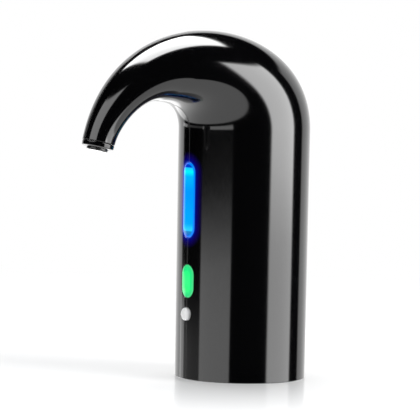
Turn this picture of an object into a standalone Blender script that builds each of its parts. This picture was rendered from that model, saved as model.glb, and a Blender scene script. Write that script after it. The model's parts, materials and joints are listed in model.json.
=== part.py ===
"""Electric wine aerator: a hooked pouring body that stands by itself or over a bottle's neck.

The body is two moulded half shells on one swept tube: a straight barrel, an arch and a
tapering spout. Inside are a ring of cells round the bottle socket, an air pump that drives
wine up through a hose, a circuit board with lights and two push buttons, and the nozzle.
Units are metres. +Z is up, the spout points to -Y and the barrel's axis is the Z axis.
"""

import bpy
import bmesh
from math import asin, atan2, cos, pi, radians, sin, sqrt
from mathutils import Matrix, Vector

MM = 0.001

# Clearances
SEAT_GAP = 0.3 * MM
RUNNING_GAP = 0.45 * MM
OVERRUN = 1.0 * MM

# Bottle socket, cell ring and wall, which together set the barrel's width
SOCKET_RADIUS = 16.0 * MM
TUBE_WALL = 1.3 * MM
CELL_DIAMETER = 10.5 * MM
SHELL_WALL = 1.8 * MM
TUBE_RADIUS = SOCKET_RADIUS + TUBE_WALL
CELL_RING_RADIUS = TUBE_RADIUS + RUNNING_GAP + CELL_DIAMETER / 2
SHELL_INNER_RADIUS = CELL_RING_RADIUS + CELL_DIAMETER / 2 + RUNNING_GAP
BODY_RADIUS = SHELL_INNER_RADIUS + SHELL_WALL
ARC_STEPS = 12
SHELL_FLAT_RADIUS = SHELL_INNER_RADIUS * cos(pi / (2 * ARC_STEPS))

# Heights of the stack inside the barrel, which set where the arch begins
COVER_RECESS = 0.4 * MM
COVER_THICKNESS = 2.0 * MM
CONTACT_THICKNESS = 0.4 * MM
CONTACT_SPRING_HEIGHT = 1.1 * MM
CELL_LENGTH = 44.5 * MM
DECK_THICKNESS = 3.0 * MM
PEDESTAL_HEIGHT = 3.7 * MM
CUP_FLOOR = 1.7 * MM
HEAD_HEIGHT = 8.0 * MM
VALVE_PLATE_HEIGHT = 2.0 * MM
DIAPHRAGM_THICKNESS = 1.0 * MM
FRAME_HEIGHT = 12.0 * MM
MOTOR_LENGTH = 27.0 * MM
END_CAP_HEIGHT = 3.0 * MM
CROWN_ROOM = 1.04 * MM

COVER_TOP = COVER_RECESS + COVER_THICKNESS
LOWER_CONTACT = COVER_TOP + SEAT_GAP
CELL_BOTTOM = LOWER_CONTACT + CONTACT_THICKNESS + CONTACT_SPRING_HEIGHT + SEAT_GAP
CELL_TOP = CELL_BOTTOM + CELL_LENGTH
UPPER_CONTACT = CELL_TOP + SEAT_GAP
DECK_BOTTOM = UPPER_CONTACT + CONTACT_THICKNESS + SEAT_GAP
DECK_TOP = DECK_BOTTOM + DECK_THICKNESS
MOUNT_BOTTOM = DECK_TOP + SEAT_GAP
CUP_BOTTOM = MOUNT_BOTTOM + PEDESTAL_HEIGHT
HEAD_BOTTOM = CUP_BOTTOM + CUP_FLOOR + SEAT_GAP
HEAD_TOP = HEAD_BOTTOM + HEAD_HEIGHT
VALVE_BOTTOM = HEAD_TOP + SEAT_GAP
VALVE_TOP = VALVE_BOTTOM + VALVE_PLATE_HEIGHT
DIAPHRAGM_BOTTOM = VALVE_TOP + SEAT_GAP
DIAPHRAGM_TOP = DIAPHRAGM_BOTTOM + DIAPHRAGM_THICKNESS
FRAME_BOTTOM = DIAPHRAGM_TOP + SEAT_GAP
FRAME_TOP = FRAME_BOTTOM + FRAME_HEIGHT
CAN_BOTTOM = FRAME_TOP + SEAT_GAP
CAN_TOP = CAN_BOTTOM + MOTOR_LENGTH
END_CAP_BOTTOM = CAN_TOP + SEAT_GAP
END_CAP_TOP = END_CAP_BOTTOM + END_CAP_HEIGHT
STRAIGHT_TOP = END_CAP_TOP + CROWN_ROOM

# Outline of the arch and spout, seen from the side
CROWN_REACH = 22.36 * MM
CROWN_RISE = 45.46 * MM
BACK_HANDLE = 29.0 * MM
CROWN_BACK_HANDLE = 27.8 * MM
CROWN_FRONT_HANDLE = 30.5 * MM
SPOUT_OUTER_HANDLE = 30.2 * MM
CROOK_REACH = 20.0 * MM
CROOK_RISE = 12.9 * MM
CROOK_BODY_HANDLE = 11.1 * MM
CROOK_BACK_HANDLE = 8.9 * MM
CROOK_FRONT_HANDLE = 10.6 * MM
SPOUT_INNER_HANDLE = 8.8 * MM
TIP_REACH = 79.5 * MM
TIP_DROP = 8.2 * MM
TIP_TILT = radians(12.8)
TIP_RADIUS = 7.2 * MM
SPOUT_END_RADIUS = 7.45 * MM
SPOUT_WALL = 1.2 * MM
BODY_DRAFT_SHARE = 0.01
BASE_CHAMFER = 0.5 * MM
CROWN_SHARE = 0.5
BARREL_STATIONS = 1
ARCH_STATIONS = 20

# Seam between the half shells: a tongue on the right one laps into the left one
SEAM_GAP = 0.3 * MM
LAP_LENGTH = 1.2 * MM

# Ribs and bosses moulded into the shells
HOSE_RIB_SHARES = (0.22, 0.45, 0.68)
HOSE_RIB_SPAN_SHARE = 0.016
HOSE_RIB_BORE = 6.0 * MM
BOSS_RADIUS = 2.75 * MM
BOSS_HEIGHT = 9.0 * MM
BOSS_PILOT_RADIUS = 1.15 * MM
BOSS_WEB = 1.6 * MM
LEDGE_DEPTH = 3.0 * MM
LEDGE_HEIGHT = 1.5 * MM
LEDGE_AZIMUTH = radians(163.0)
LEDGE_HALF_ANGLE = radians(8.0)
BOARD_RIB_HEIGHT = 1.5 * MM
BOARD_RIB_DROP = 8.0 * MM
BOARD_RIB_START = radians(15.5)
BOARD_RIB_END = radians(38.0)

# Nozzle, turned about the spout's axis, with its own zero at the tip
COLLAR_HEIGHT = 2.4 * MM
COLLAR_TOP_RADIUS = 7.4 * MM
COLLAR_ROUND = 0.35 * MM
SLEEVE_RADIUS = 5.65 * MM
SLEEVE_BORE = 5.1 * MM
SLEEVE_DEPTH = 7.0 * MM
INSERT_RADIUS = 4.8 * MM
INSERT_PROUD = 0.9 * MM
INSERT_DEPTH = 9.0 * MM
INSERT_POCKET_RADIUS = 3.3 * MM
INSERT_POCKET_DEPTH = 6.5 * MM
BARB_LENGTH = 1.8 * MM
OUTLET_BORE = 2.1 * MM
OUTLET_MOUTH_RADIUS = 2.7 * MM
OUTLET_FLANGE_RADIUS = 4.5 * MM
OUTLET_CONE_HEIGHT = 0.7 * MM
OUTLET_STEM_RADIUS = 3.0 * MM
OUTLET_STEM_LENGTH = 6.0 * MM
NOZZLE_RING_SEAL = 0.35 * MM

# Front of the barrel: lit window, lit pour button, round power button
PILL_RADIUS = 4.6 * MM
PILL_SINK = 0.45 * MM
PILL_CROWN = 0.7 * MM
POWER_RADIUS = 3.0 * MM
POWER_HEIGHT = 30.05 * MM
BUTTON_SPACING = 4.65 * MM
POUR_LENGTH = 15.0 * MM
WINDOW_SPACING = 12.6 * MM
WINDOW_LENGTH = 34.3 * MM
APERTURE_GAP = 0.25 * MM
DOME_STEP = 0.2 * MM
DOME_HEIGHT = 1.6 * MM
DOME_LEVELS = 3
DOME_ANGLE = radians(76.0)
PILL_FLANGE = 1.2 * MM
PILL_FLANGE_THICKNESS = 1.0 * MM
BUTTON_STEM = 1.2 * MM
BUTTON_STEM_RADIUS = 1.6 * MM
BUTTON_TRAVEL = 0.8 * MM
PLUNGER_HEIGHT = 0.8 * MM
PLUNGER_RADIUS = 1.5 * MM
SWITCH_HEIGHT = 2.1 * MM
SWITCH_WIDTH = 6.0 * MM
PILL_STEPS = 6

# Circuit board and what is on it
BOARD_WIDTH = 16.0 * MM
BOARD_THICKNESS = 1.2 * MM
BOARD_MARGIN = 3.4 * MM
LED_WIDTH = 3.0 * MM
LED_HEIGHT = 1.4 * MM
LED_SPACING = 11.0 * MM
GREEN_LED_WIDTH = 2.0 * MM
GREEN_LED_INSET = 2.2 * MM
GUIDE_WIDTH = 5.2 * MM
GUIDE_INSET = 1.0 * MM
BOARD_SCREW_HEAD = 1.9 * MM
BOARD_SCREW_HEAD_HEIGHT = 1.3 * MM
BOARD_SCREW_RADIUS = 0.75 * MM
STANDOFF_RADIUS = 2.6 * MM
STANDOFF_FLOOR = 0.6 * MM
POST_THICKNESS = 2.6 * MM

POUR_LOW = POWER_HEIGHT + POWER_RADIUS + BUTTON_SPACING
POUR_HIGH = POUR_LOW + POUR_LENGTH
WINDOW_LOW = POUR_HIGH + WINDOW_SPACING
WINDOW_HIGH = WINDOW_LOW + WINDOW_LENGTH
PILL_FLANGE_HALF = PILL_RADIUS + PILL_FLANGE
FLANGE_FRONT = sqrt(SHELL_FLAT_RADIUS ** 2 - PILL_FLANGE_HALF ** 2) - SEAT_GAP
FLANGE_BACK = FLANGE_FRONT - PILL_FLANGE_THICKNESS
STEM_BACK = FLANGE_BACK - BUTTON_STEM
PLUNGER_FRONT = STEM_BACK - BUTTON_TRAVEL - APERTURE_GAP
SWITCH_FRONT = PLUNGER_FRONT - PLUNGER_HEIGHT
SWITCH_BACK = SWITCH_FRONT - SWITCH_HEIGHT
BOARD_FRONT = SWITCH_BACK - SEAT_GAP
BOARD_BACK = BOARD_FRONT - BOARD_THICKNESS
STANDOFF_FRONT = BOARD_BACK - SEAT_GAP
BOARD_LOW = POWER_HEIGHT - SWITCH_WIDTH / 2 - BOARD_MARGIN
BOARD_HIGH = WINDOW_HIGH + BOARD_MARGIN
POUR_HEIGHT = (POUR_LOW + POUR_HIGH) / 2
WINDOW_HEIGHT = (WINDOW_LOW + WINDOW_HIGH) / 2
LOWER_SCREW_HEIGHT = (POWER_HEIGHT + POUR_HEIGHT) / 2
UPPER_SCREW_HEIGHT = (POUR_HIGH + WINDOW_LOW) / 2

# Cells, carrier and contacts
CELL_MIDDLE_AZIMUTH = radians(91.0)
FIN_THICKNESS = 0.9 * MM
FIN_GAP = 0.35 * MM
NUB_RADIUS = 2.4 * MM
NUB_HEIGHT = 0.8 * MM
CONTACT_WIDTH = 5.0 * MM
CONTACT_END_ANGLE = radians(8.0)
SPRING_BASE_RADIUS = 2.2 * MM
SPRING_TOP_RADIUS = 1.2 * MM
TUBE_LIFT = 0.5 * MM
MOUTH_CHAMFER = 0.7 * MM
CELL_PITCH = 2 * asin((CELL_DIAMETER + FIN_THICKNESS + 2 * FIN_GAP) / (2 * CELL_RING_RADIUS))
CELL_AZIMUTHS = tuple(CELL_MIDDLE_AZIMUTH + step * CELL_PITCH for step in (-1, 0, 1))
FIN_AZIMUTHS = tuple(CELL_MIDDLE_AZIMUTH + (step - 1.5) * CELL_PITCH for step in range(4))
DECK_RADIUS = SHELL_FLAT_RADIUS - RUNNING_GAP
BOARD_CORNER_AZIMUTH = atan2(BOARD_WIDTH / 2, BOARD_BACK)
BOSS_AZIMUTH = (BOARD_CORNER_AZIMUTH + FIN_AZIMUTHS[0]) / 2
BOSS_RING_RADIUS = SHELL_FLAT_RADIUS - SEAT_GAP - BOSS_RADIUS - RUNNING_GAP
WIRE_HOLE_RADIUS = 1.3 * MM

# Screws that hold the carrier in the shells
SHELL_SCREW_HEAD = 2.3 * MM
SHELL_SCREW_HEAD_HEIGHT = 1.6 * MM
SHELL_SCREW_RADIUS = 0.85 * MM
SHELL_SCREW_REACH = 7.0 * MM
DECK_SCREW_HOLE = 1.4 * MM

# Battery cover
COVER_RIM_WALL = 1.1 * MM
COVER_RIM_HEIGHT = 1.4 * MM
COVER_POST_HEIGHT = 6.0 * MM
COVER_POST_WALL = 1.6 * MM
COVER_POST_HALF_ANGLE = radians(8.0)
COVER_POST_GAP = 0.6 * MM
NOTCH_RADIUS = 4.0 * MM
NOTCH_AZIMUTH = radians(34.0)

# Grip ring and stopper in the socket
GRIP_THICKNESS = 0.7 * MM
GRIP_GROOVE = 0.25 * MM
GRIP_LENGTH = 10.5 * MM
GRIP_RIBS = 2
STOPPER_FLANGE_RADIUS = 13.6 * MM
STOPPER_FLANGE_HEIGHT = 3.0 * MM
STOPPER_TOP_RADIUS = 10.0 * MM
STOPPER_END_RADIUS = 8.5 * MM
STOPPER_LENGTH = 20.0 * MM
STOPPER_NECK_RADIUS = 2.6 * MM
STOPPER_NECK_LENGTH = 6.0 * MM
STOPPER_BORE = 1.5 * MM

# Manifold
SPIGOT_RADIUS = 4.5 * MM
SPIGOT_LENGTH = 7.0 * MM
SPIGOT_CLEARANCE = 0.9 * MM
SPIGOT_GROOVE_DEPTH = 0.8 * MM
SPIGOT_GROOVE_WIDTH = 1.9 * MM
SPIGOT_GROOVE_RISE = 1.5 * MM
SPIGOT_SEAL_RADIUS = 0.62 * MM
MANIFOLD_FLANGE_RADIUS = 8.2 * MM
MANIFOLD_FLANGE_HEIGHT = 2.7 * MM
MANIFOLD_BLOCK_HALF_WIDTH = 8.0 * MM
MANIFOLD_BLOCK_FRONT = 6.0 * MM
MANIFOLD_BLOCK_HEIGHT = 4.0 * MM
MANIFOLD_BARB_LENGTH = 4.0 * MM
WINE_BORE = 1.1 * MM

# Hoses and leads
WINE_HOSE_RADIUS = 2.8 * MM
WINE_HOSE_BORE = 1.8 * MM
AIR_HOSE_RADIUS = 1.8 * MM
AIR_HOSE_BORE = 1.1 * MM
BARB_CLEARANCE = 0.27 * MM
WINE_HOSE_SIDE = 1.8 * MM
HOSE_STATIONS = 20
HOSE_END_SHARE = 0.86
HOSE_BARREL_STATIONS = 5
HOSE_END_RUN = 3.0 * MM
AIR_HOSE_START = 5.6 * MM
AIR_LOOP_HANDLE = 13.0 * MM
AIR_LOOP_STATIONS = 10
LEAD_RADIUS = 0.6 * MM
LEAD_STATIONS = 10
BATTERY_LEAD_HANDLE = 12.0 * MM
MOTOR_LEAD_HANDLE = 14.0 * MM
BATTERY_LEAD_END = 5.0 * MM
MOTOR_LEAD_START = 6.0 * MM
MOTOR_LEAD_END = 5.5 * MM
MOTOR_LEAD_DROP = 6.0 * MM
BATTERY_LEAD_RISE = 3.0 * MM

# Air pump and motor, on one upright axis behind the wine hose
MOTOR_RADIUS = 12.0 * MM
CUP_WALL = 0.85 * MM
CUP_HEIGHT = 5.0 * MM
PEDESTAL_HALF_WIDTH = 8.0 * MM
PEDESTAL_GAP = 0.8 * MM
NIPPLE_DROP = 2.0 * MM
FRAME_WALL = 1.4 * MM
FRAME_PLATE = 1.2 * MM
FRAME_HOLE = 5.0 * MM
LUG_RADIUS = 2.7 * MM
LUG_REACH = 2.0 * MM
LUG_AZIMUTH = radians(112.0)
LUG_HEIGHT = 3.2 * MM
LUG_HOLE = 1.05 * MM
PUMP_SCREW_RADIUS = 0.75 * MM
PUMP_SCREW_HEAD = 1.6 * MM
PUMP_SCREW_HEAD_HEIGHT = 1.1 * MM
VALVE_PORT_RADIUS = 1.0 * MM
CUP_RING_RADIUS = 6.2 * MM
DIAPHRAGM_CUP_RADIUS = 3.0 * MM
DIAPHRAGM_CUP_TOP_RADIUS = 2.3 * MM
DIAPHRAGM_CUP_HEIGHT = 2.6 * MM
DIAPHRAGM_CUPS = 3
CAN_WALL = 2.7 * MM
CAN_FLOOR = 1.5 * MM
SHAFT_RADIUS = 1.0 * MM
SHAFT_CLEARANCE = 0.4 * MM
ARMATURE_RADIUS = 8.6 * MM
ARMATURE_LENGTH = 17.0 * MM
ARMATURE_LIFT = 3.5 * MM
ECCENTRIC_RADIUS = 7.0 * MM
ECCENTRIC_HEIGHT = 4.0 * MM
WOBBLE_TILT = radians(2.5)
WOBBLE_THICKNESS = 1.6 * MM
WOBBLE_LIFT = 0.7 * MM
WOBBLE_HUB_RADIUS = 3.4 * MM
WOBBLE_ARM_RADIUS = 2.2 * MM
WOBBLE_BORE = 1.5 * MM
CRANK_PIN_RADIUS = 1.0 * MM
CRANK_PIN_GAP = 0.9 * MM

CUP_RADIUS = MOTOR_RADIUS + SEAT_GAP + CUP_WALL
PUMP_AXIS = SHELL_FLAT_RADIUS - SEAT_GAP - CUP_RADIUS
WINE_HOSE_FORWARD = CUP_RADIUS + RUNNING_GAP + WINE_HOSE_RADIUS - PUMP_AXIS + SEAT_GAP
MANIFOLD_TOP = MOUNT_BOTTOM + MANIFOLD_FLANGE_HEIGHT + MANIFOLD_BLOCK_HEIGHT
AIR_PORT_HEIGHT = MANIFOLD_TOP - AIR_HOSE_RADIUS
WOBBLE_BOTTOM = DIAPHRAGM_TOP + DIAPHRAGM_CUP_HEIGHT + WOBBLE_LIFT
WOBBLE_PIVOT = WOBBLE_BOTTOM + WOBBLE_THICKNESS / 2
ECCENTRIC_BOTTOM = WOBBLE_BOTTOM + WOBBLE_THICKNESS + CRANK_PIN_GAP

# Sides of round pieces
ROUND_SIDES = 28
BARREL_SIDES = 16
SMALL_SIDES = 12
TINY_SIDES = 8
SLIM_SIDES = 6

# Colour (red, green, blue), roughness and metallic value of each material
FINISHES = {
    "gloss_black": ((0.004, 0.004, 0.005), 0.06, 0.0),
    "inner_black": ((0.02, 0.02, 0.022), 0.5, 0.0),
    "dark_rubber": ((0.03, 0.03, 0.032), 0.7, 0.0),
    "silicone": ((0.62, 0.62, 0.6), 0.45, 0.0),
    "clear_hose": ((0.75, 0.78, 0.78), 0.2, 0.0),
    "steel": ((0.62, 0.62, 0.64), 0.25, 1.0),
    "spring_steel": ((0.7, 0.68, 0.62), 0.3, 1.0),
    "blue_lens": ((0.02, 0.35, 0.95), 0.15, 0.0),
    "green_lens": ((0.1, 0.85, 0.25), 0.2, 0.0),
    "white_cap": ((0.85, 0.87, 0.88), 0.3, 0.0),
    "diffuser": ((0.8, 0.85, 0.9), 0.5, 0.0),
    "board": ((0.01, 0.12, 0.05), 0.4, 0.0),
    "cell_jacket": ((0.1, 0.12, 0.16), 0.3, 0.6),
    "copper": ((0.75, 0.35, 0.18), 0.35, 1.0),
    "red_lead": ((0.6, 0.02, 0.02), 0.4, 0.0),
    "black_lead": ((0.01, 0.01, 0.01), 0.4, 0.0),
}


def clear_scene():
    """Removes whatever the new file holds."""
    for old in list(bpy.data.objects):
        bpy.data.objects.remove(old, do_unlink=True)


def make_finishes():
    """One Principled BSDF material for each finish."""
    finishes = {}
    for name, (colour, roughness, metallic) in FINISHES.items():
        finish = bpy.data.materials.new(name)
        finish.use_nodes = True
        shader = finish.node_tree.nodes["Principled BSDF"]
        shader.inputs["Base Color"].default_value = (*colour, 1.0)
        shader.inputs["Roughness"].default_value = roughness
        shader.inputs["Metallic"].default_value = metallic
        finish.diffuse_color = (*colour, 1.0)
        finishes[name] = finish
    return finishes


def finish_solid(name, shape, finish, place=None):
    """Turns a closed bmesh into a named object with outward faces."""
    if place is not None:
        bmesh.ops.transform(shape, matrix=place, verts=shape.verts)
    bmesh.ops.recalc_face_normals(shape, faces=shape.faces)
    mesh = bpy.data.meshes.new(name)
    shape.to_mesh(mesh)
    shape.free()
    mesh.shade_smooth()
    mesh.set_sharp_from_angle(angle=radians(35.0))
    mesh.materials.append(finish)
    solid = bpy.data.objects.new(name, mesh)
    bpy.context.scene.collection.objects.link(solid)
    return solid


def skin(shape, first, second):
    """Faces between two rings of points of equal count."""
    for index, point in enumerate(first):
        after = (index + 1) % len(first)
        shape.faces.new((point, first[after], second[after], second[index]))


def loft(name, rings, finish, place=None, cells=None):
    """A closed solid through rings of equal count, capped at both ends.

    Cells split a cap that isn't convex into smaller faces, by the points' numbers.
    """
    shape = bmesh.new()
    loops = [[shape.verts.new(point) for point in ring] for ring in rings]
    for first, second in zip(loops, loops[1:]):
        skin(shape, first, second)
    for loop in (loops[0], loops[-1]):
        for cell in cells or [range(len(loop))]:
            shape.faces.new([loop[number] for number in cell])
    return finish_solid(name, shape, finish, place)


def turned(name, profile, finish, sides, place=None):
    """A solid turned about Z from a closed profile of (radius, height) points.

    A point on the axis closes the ring next to it with a flat cap.
    """
    shape = bmesh.new()
    turn = 2 * pi / sides
    rings = []
    for radius, height in profile:
        spots = [(radius * cos(turn * i), radius * sin(turn * i), height) for i in range(sides)]
        rings.append([shape.verts.new(spot) for spot in spots] if radius > 0 else None)
    for first, second in zip(rings, rings[1:] + rings[:1]):
        if first and second:
            skin(shape, first, second)
        elif first or second:
            shape.faces.new(first or second)
    return finish_solid(name, shape, finish, place)


def block(name, low, high, finish, place=None):
    """A box between two opposite corners."""
    corners = ((low[0], low[1]), (high[0], low[1]), (high[0], high[1]), (low[0], high[1]))
    rings = [[(x, y, z) for x, y in corners] for z in (low[2], high[2])]
    return loft(name, rings, finish, place)


def sector(name, inner, outer, start, end, low, high, finish, steps=6):
    """Part of a flat ring about Z between two azimuths."""
    turns = [start + (end - start) * i / steps for i in range(steps + 1)]
    outline = [facing(turn) * outer for turn in turns]
    outline += [facing(turn) * inner for turn in reversed(turns)]
    rings = [[point + Vector((0, 0, height)) for point in outline] for height in (low, high)]
    last = 2 * steps + 1
    cells = [(step, step + 1, last - step - 1, last - step) for step in range(steps)]
    return loft(name, rings, finish, None, cells)


def facing(azimuth):
    """Level direction at an azimuth from the front, positive towards +X."""
    return Vector((sin(azimuth), -cos(azimuth), 0))


def around(azimuth):
    """Turns local +X to face an azimuth."""
    return Matrix.Rotation(azimuth - pi / 2, 4, "Z")


def rod(name, start, end, radius, finish, sides=SMALL_SIDES):
    """A round bar between two points."""
    run = Vector(end) - Vector(start)
    place = Matrix.Translation(start) @ run.to_track_quat("Z", "Y").to_matrix().to_4x4()
    profile = ((0, 0), (radius, 0), (radius, run.length), (0, run.length))
    return turned(name, profile, finish, sides, place)


def combine(body, tools, operation):
    """Joins solids to a body, or cuts them from it, and removes the tools."""
    for tool in tools:
        step = body.modifiers.new(tool.name, "BOOLEAN")
        step.object = tool
        step.operation = operation
        step.solver = "EXACT"
    graph = bpy.context.evaluated_depsgraph_get()
    mesh = bpy.data.meshes.new_from_object(body.evaluated_get(graph))
    body.modifiers.clear()
    body.data = mesh
    for tool in tools:
        bpy.data.objects.remove(tool, do_unlink=True)
    return body


def fuse(body, tools):
    return combine(body, tools, "UNION")


def cut(body, tools):
    return combine(body, tools, "DIFFERENCE")


def curve_through(start, first_handle, second_handle, end, share):
    """Point on a cubic curve at a share of its run."""
    rest = 1 - share
    near = start * rest ** 3 + first_handle * (3 * rest ** 2 * share)
    far = second_handle * (3 * rest * share ** 2) + end * share ** 3
    return near + far


# Swept body: every section is a circle that leans with the arch

def tip_frame():
    """Places the nozzle's own axis: zero at the tip, +Z up the spout."""
    tip = Vector((0, -TIP_REACH, STRAIGHT_TOP - TIP_DROP))
    return Matrix.Translation(tip) @ Matrix.Rotation(-TIP_TILT, 4, "X")


def spout_up():
    return (tip_frame().to_3x3() @ Vector((0, 0, 1))).normalized()


def spout_out():
    return (tip_frame().to_3x3() @ Vector((0, -1, 0))).normalized()


def side_view(reach, height):
    """Point in the middle plane, at a reach towards the front."""
    return Vector((0, -reach, height))


def outer_line(share):
    """Back of the barrel, over the crown and down the spout's outer side."""
    up = Vector((0, 0, 1))
    ahead = Vector((0, -1, 0))
    start = side_view(-BODY_RADIUS, STRAIGHT_TOP)
    crown = side_view(CROWN_REACH, STRAIGHT_TOP + CROWN_RISE)
    end = spout_end() + spout_out() * SPOUT_END_RADIUS
    if share <= CROWN_SHARE:
        handles = (start + up * BACK_HANDLE, crown - ahead * CROWN_BACK_HANDLE)
        return curve_through(start, *handles, crown, share / CROWN_SHARE)
    handles = (crown + ahead * CROWN_FRONT_HANDLE, end + spout_up() * SPOUT_OUTER_HANDLE)
    return curve_through(crown, *handles, end, (share - CROWN_SHARE) / (1 - CROWN_SHARE))


def inner_line(share):
    """Front of the barrel, through the crook and down the spout's inner side."""
    up = Vector((0, 0, 1))
    ahead = Vector((0, -1, 0))
    start = side_view(BODY_RADIUS, STRAIGHT_TOP)
    crook = side_view(BODY_RADIUS + CROOK_REACH, STRAIGHT_TOP + CROOK_RISE)
    end = spout_end() - spout_out() * SPOUT_END_RADIUS
    if share <= CROWN_SHARE:
        handles = (start + up * CROOK_BODY_HANDLE, crook - ahead * CROOK_BACK_HANDLE)
        return curve_through(start, *handles, crook, share / CROWN_SHARE)
    handles = (crook + ahead * CROOK_FRONT_HANDLE, end + spout_up() * SPOUT_INNER_HANDLE)
    return curve_through(crook, *handles, end, (share - CROWN_SHARE) / (1 - CROWN_SHARE))


def spout_end():
    """Middle of the shells' lower end, just above the nozzle collar."""
    tip = tip_frame() @ Vector((0, 0, 0))
    return tip + spout_up() * (COLLAR_HEIGHT + SEAT_GAP)


def arch_section(share):
    """Centre, outward direction, outer radius and wall at a share of the arch."""
    outer = outer_line(share)
    inner = inner_line(share)
    wall = SHELL_WALL + (SPOUT_WALL - SHELL_WALL) * share
    radius = (outer - inner).length / 2
    return (outer + inner) / 2, (outer - inner).normalized(), radius, wall


def barrel_section(height):
    """The barrel's section; its outside drafts in towards the base."""
    radius = BODY_RADIUS * (1 - BODY_DRAFT_SHARE * (1 - height / STRAIGHT_TOP))
    return Vector((0, 0, height)), Vector((0, 1, 0)), radius, radius - SHELL_INNER_RADIUS


def section_arc(centre, out, side, radius, offset):
    """Half circle from the outer seam to the inner one, starting at an offset."""
    start = asin(offset / radius)
    across = Vector((side, 0, 0))
    points = []
    for index in range(ARC_STEPS + 1):
        angle = start + (pi - 2 * start) * index / ARC_STEPS
        points.append(centre + out * (radius * cos(angle)) + across * (radius * sin(angle)))
    return points


def half_ring(section, side, outer, middle, inner, outer_offset, inner_offset):
    """Closed outline of one half wall, stepped at both seams."""
    centre, out = section[0], section[1]
    outline = section_arc(centre, out, side, outer, outer_offset)
    step_out = section_arc(centre, out, side, middle, outer_offset)
    step_in = section_arc(centre, out, side, middle, inner_offset)
    inside = section_arc(centre, out, side, inner, inner_offset)
    outline += [step_out[-1], step_in[-1]]
    outline += list(reversed(inside))
    outline += [step_in[0], step_out[0]]
    return outline


def half_ring_cells():
    """Faces that cap a half ring: one at each stepped seam and a strip between."""
    last = ARC_STEPS
    inner = [2 * last + 3 - step for step in range(last + 1)]
    cells = [(2 * last + 5, 0, 1, inner[1], inner[0], 2 * last + 4)]
    for step in range(1, last - 1):
        cells.append((step, step + 1, inner[step + 1], inner[step]))
    cells.append((last - 1, last, last + 1, last + 2, inner[last], inner[last - 1]))
    return cells


def shell_stations():
    """Sections of the shell from the base to the spout's end, with the base chamfer."""
    base = barrel_section(0)
    sections = [(base[0], base[1], base[2] - BASE_CHAMFER, base[3] - BASE_CHAMFER)]
    for index in range(BARREL_STATIONS + 1):
        rise = (STRAIGHT_TOP - BASE_CHAMFER) * index / BARREL_STATIONS
        sections.append(barrel_section(BASE_CHAMFER + rise))
    for index in range(1, ARCH_STATIONS + 1):
        sections.append(arch_section(index / ARCH_STATIONS))
    return sections


def wall_outline(section, side):
    """The shell's wall at one section, with its tongue or its rebate."""
    radius, wall = section[2], section[3]
    inner = radius - wall
    half_gap = SEAM_GAP / 2
    if side > 0:
        middle = radius - wall / 2 - half_gap
        return half_ring(section, side, radius, middle, inner, half_gap, -LAP_LENGTH)
    middle = radius - wall / 2 + half_gap
    return half_ring(section, side, radius, middle, inner, half_gap, LAP_LENGTH + SEAM_GAP)


def hose_rib(side, share, finish):
    """A web across the half tube with a round notch for the hoses."""
    rings = []
    for place in (share - HOSE_RIB_SPAN_SHARE / 2, share + HOSE_RIB_SPAN_SHARE / 2):
        section = arch_section(place)
        outer = section[2] - section[3] / 2
        offset = LAP_LENGTH + 2 * SEAM_GAP
        middle = (outer + HOSE_RIB_BORE) / 2
        rings.append(half_ring(section, side, outer, middle, HOSE_RIB_BORE, offset, offset))
    return loft("hose_rib", rings, finish, None, half_ring_cells())


def pill_ring(radius, half_straight, height, depth):
    """Upright pill outline at a depth in front of the barrel's axis."""
    points = []
    for end in (1, -1):
        for index in range(PILL_STEPS + 1):
            angle = pi * index / PILL_STEPS
            x = end * radius * cos(angle)
            z = height + end * (half_straight + radius * sin(angle))
            points.append(Vector((x, -depth, z)))
    return points


def pill_solid(name, levels, half_straight, height, finish):
    """A solid through pill outlines of (radius, depth)."""
    rings = [pill_ring(radius, half_straight, height, depth) for radius, depth in levels]
    return loft(name, rings, finish)


def aperture(radius, half_straight, height, finish):
    """Cutter for an opening in the front of the shells."""
    wide = radius + APERTURE_GAP
    levels = ((wide, SHELL_INNER_RADIUS - SHELL_WALL), (wide, BODY_RADIUS + OVERRUN))
    return pill_solid("aperture", levels, half_straight, height, finish)


def dome_levels(radius, foot, start, rise):
    """Levels of a rounded front from its foot, with its rounding above start."""
    levels = [(radius, foot), (radius, start)]
    for index in range(1, DOME_LEVELS + 1):
        angle = DOME_ANGLE * index / DOME_LEVELS
        levels.append((radius * cos(angle), start + rise * sin(angle)))
    return levels


def boss_spot(side, height):
    return facing(side * BOSS_AZIMUTH) * BOSS_RING_RADIUS + Vector((0, 0, height))


def boss_rings(low, high, embed):
    """A screw boss and the web that ties it to the wall, as one upright outline."""
    half_web = BOSS_WEB / 2
    opening = asin(half_web / BOSS_RADIUS)
    outline = [(embed, -half_web), (embed, half_web)]
    for index in range(SMALL_SIDES + 1):
        angle = opening + (2 * pi - 2 * opening) * index / SMALL_SIDES
        outline.append((BOSS_RING_RADIUS + BOSS_RADIUS * cos(angle), BOSS_RADIUS * sin(angle)))
    return [[Vector((x, y, height)) for x, y in outline] for height in (low, high)]


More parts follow.
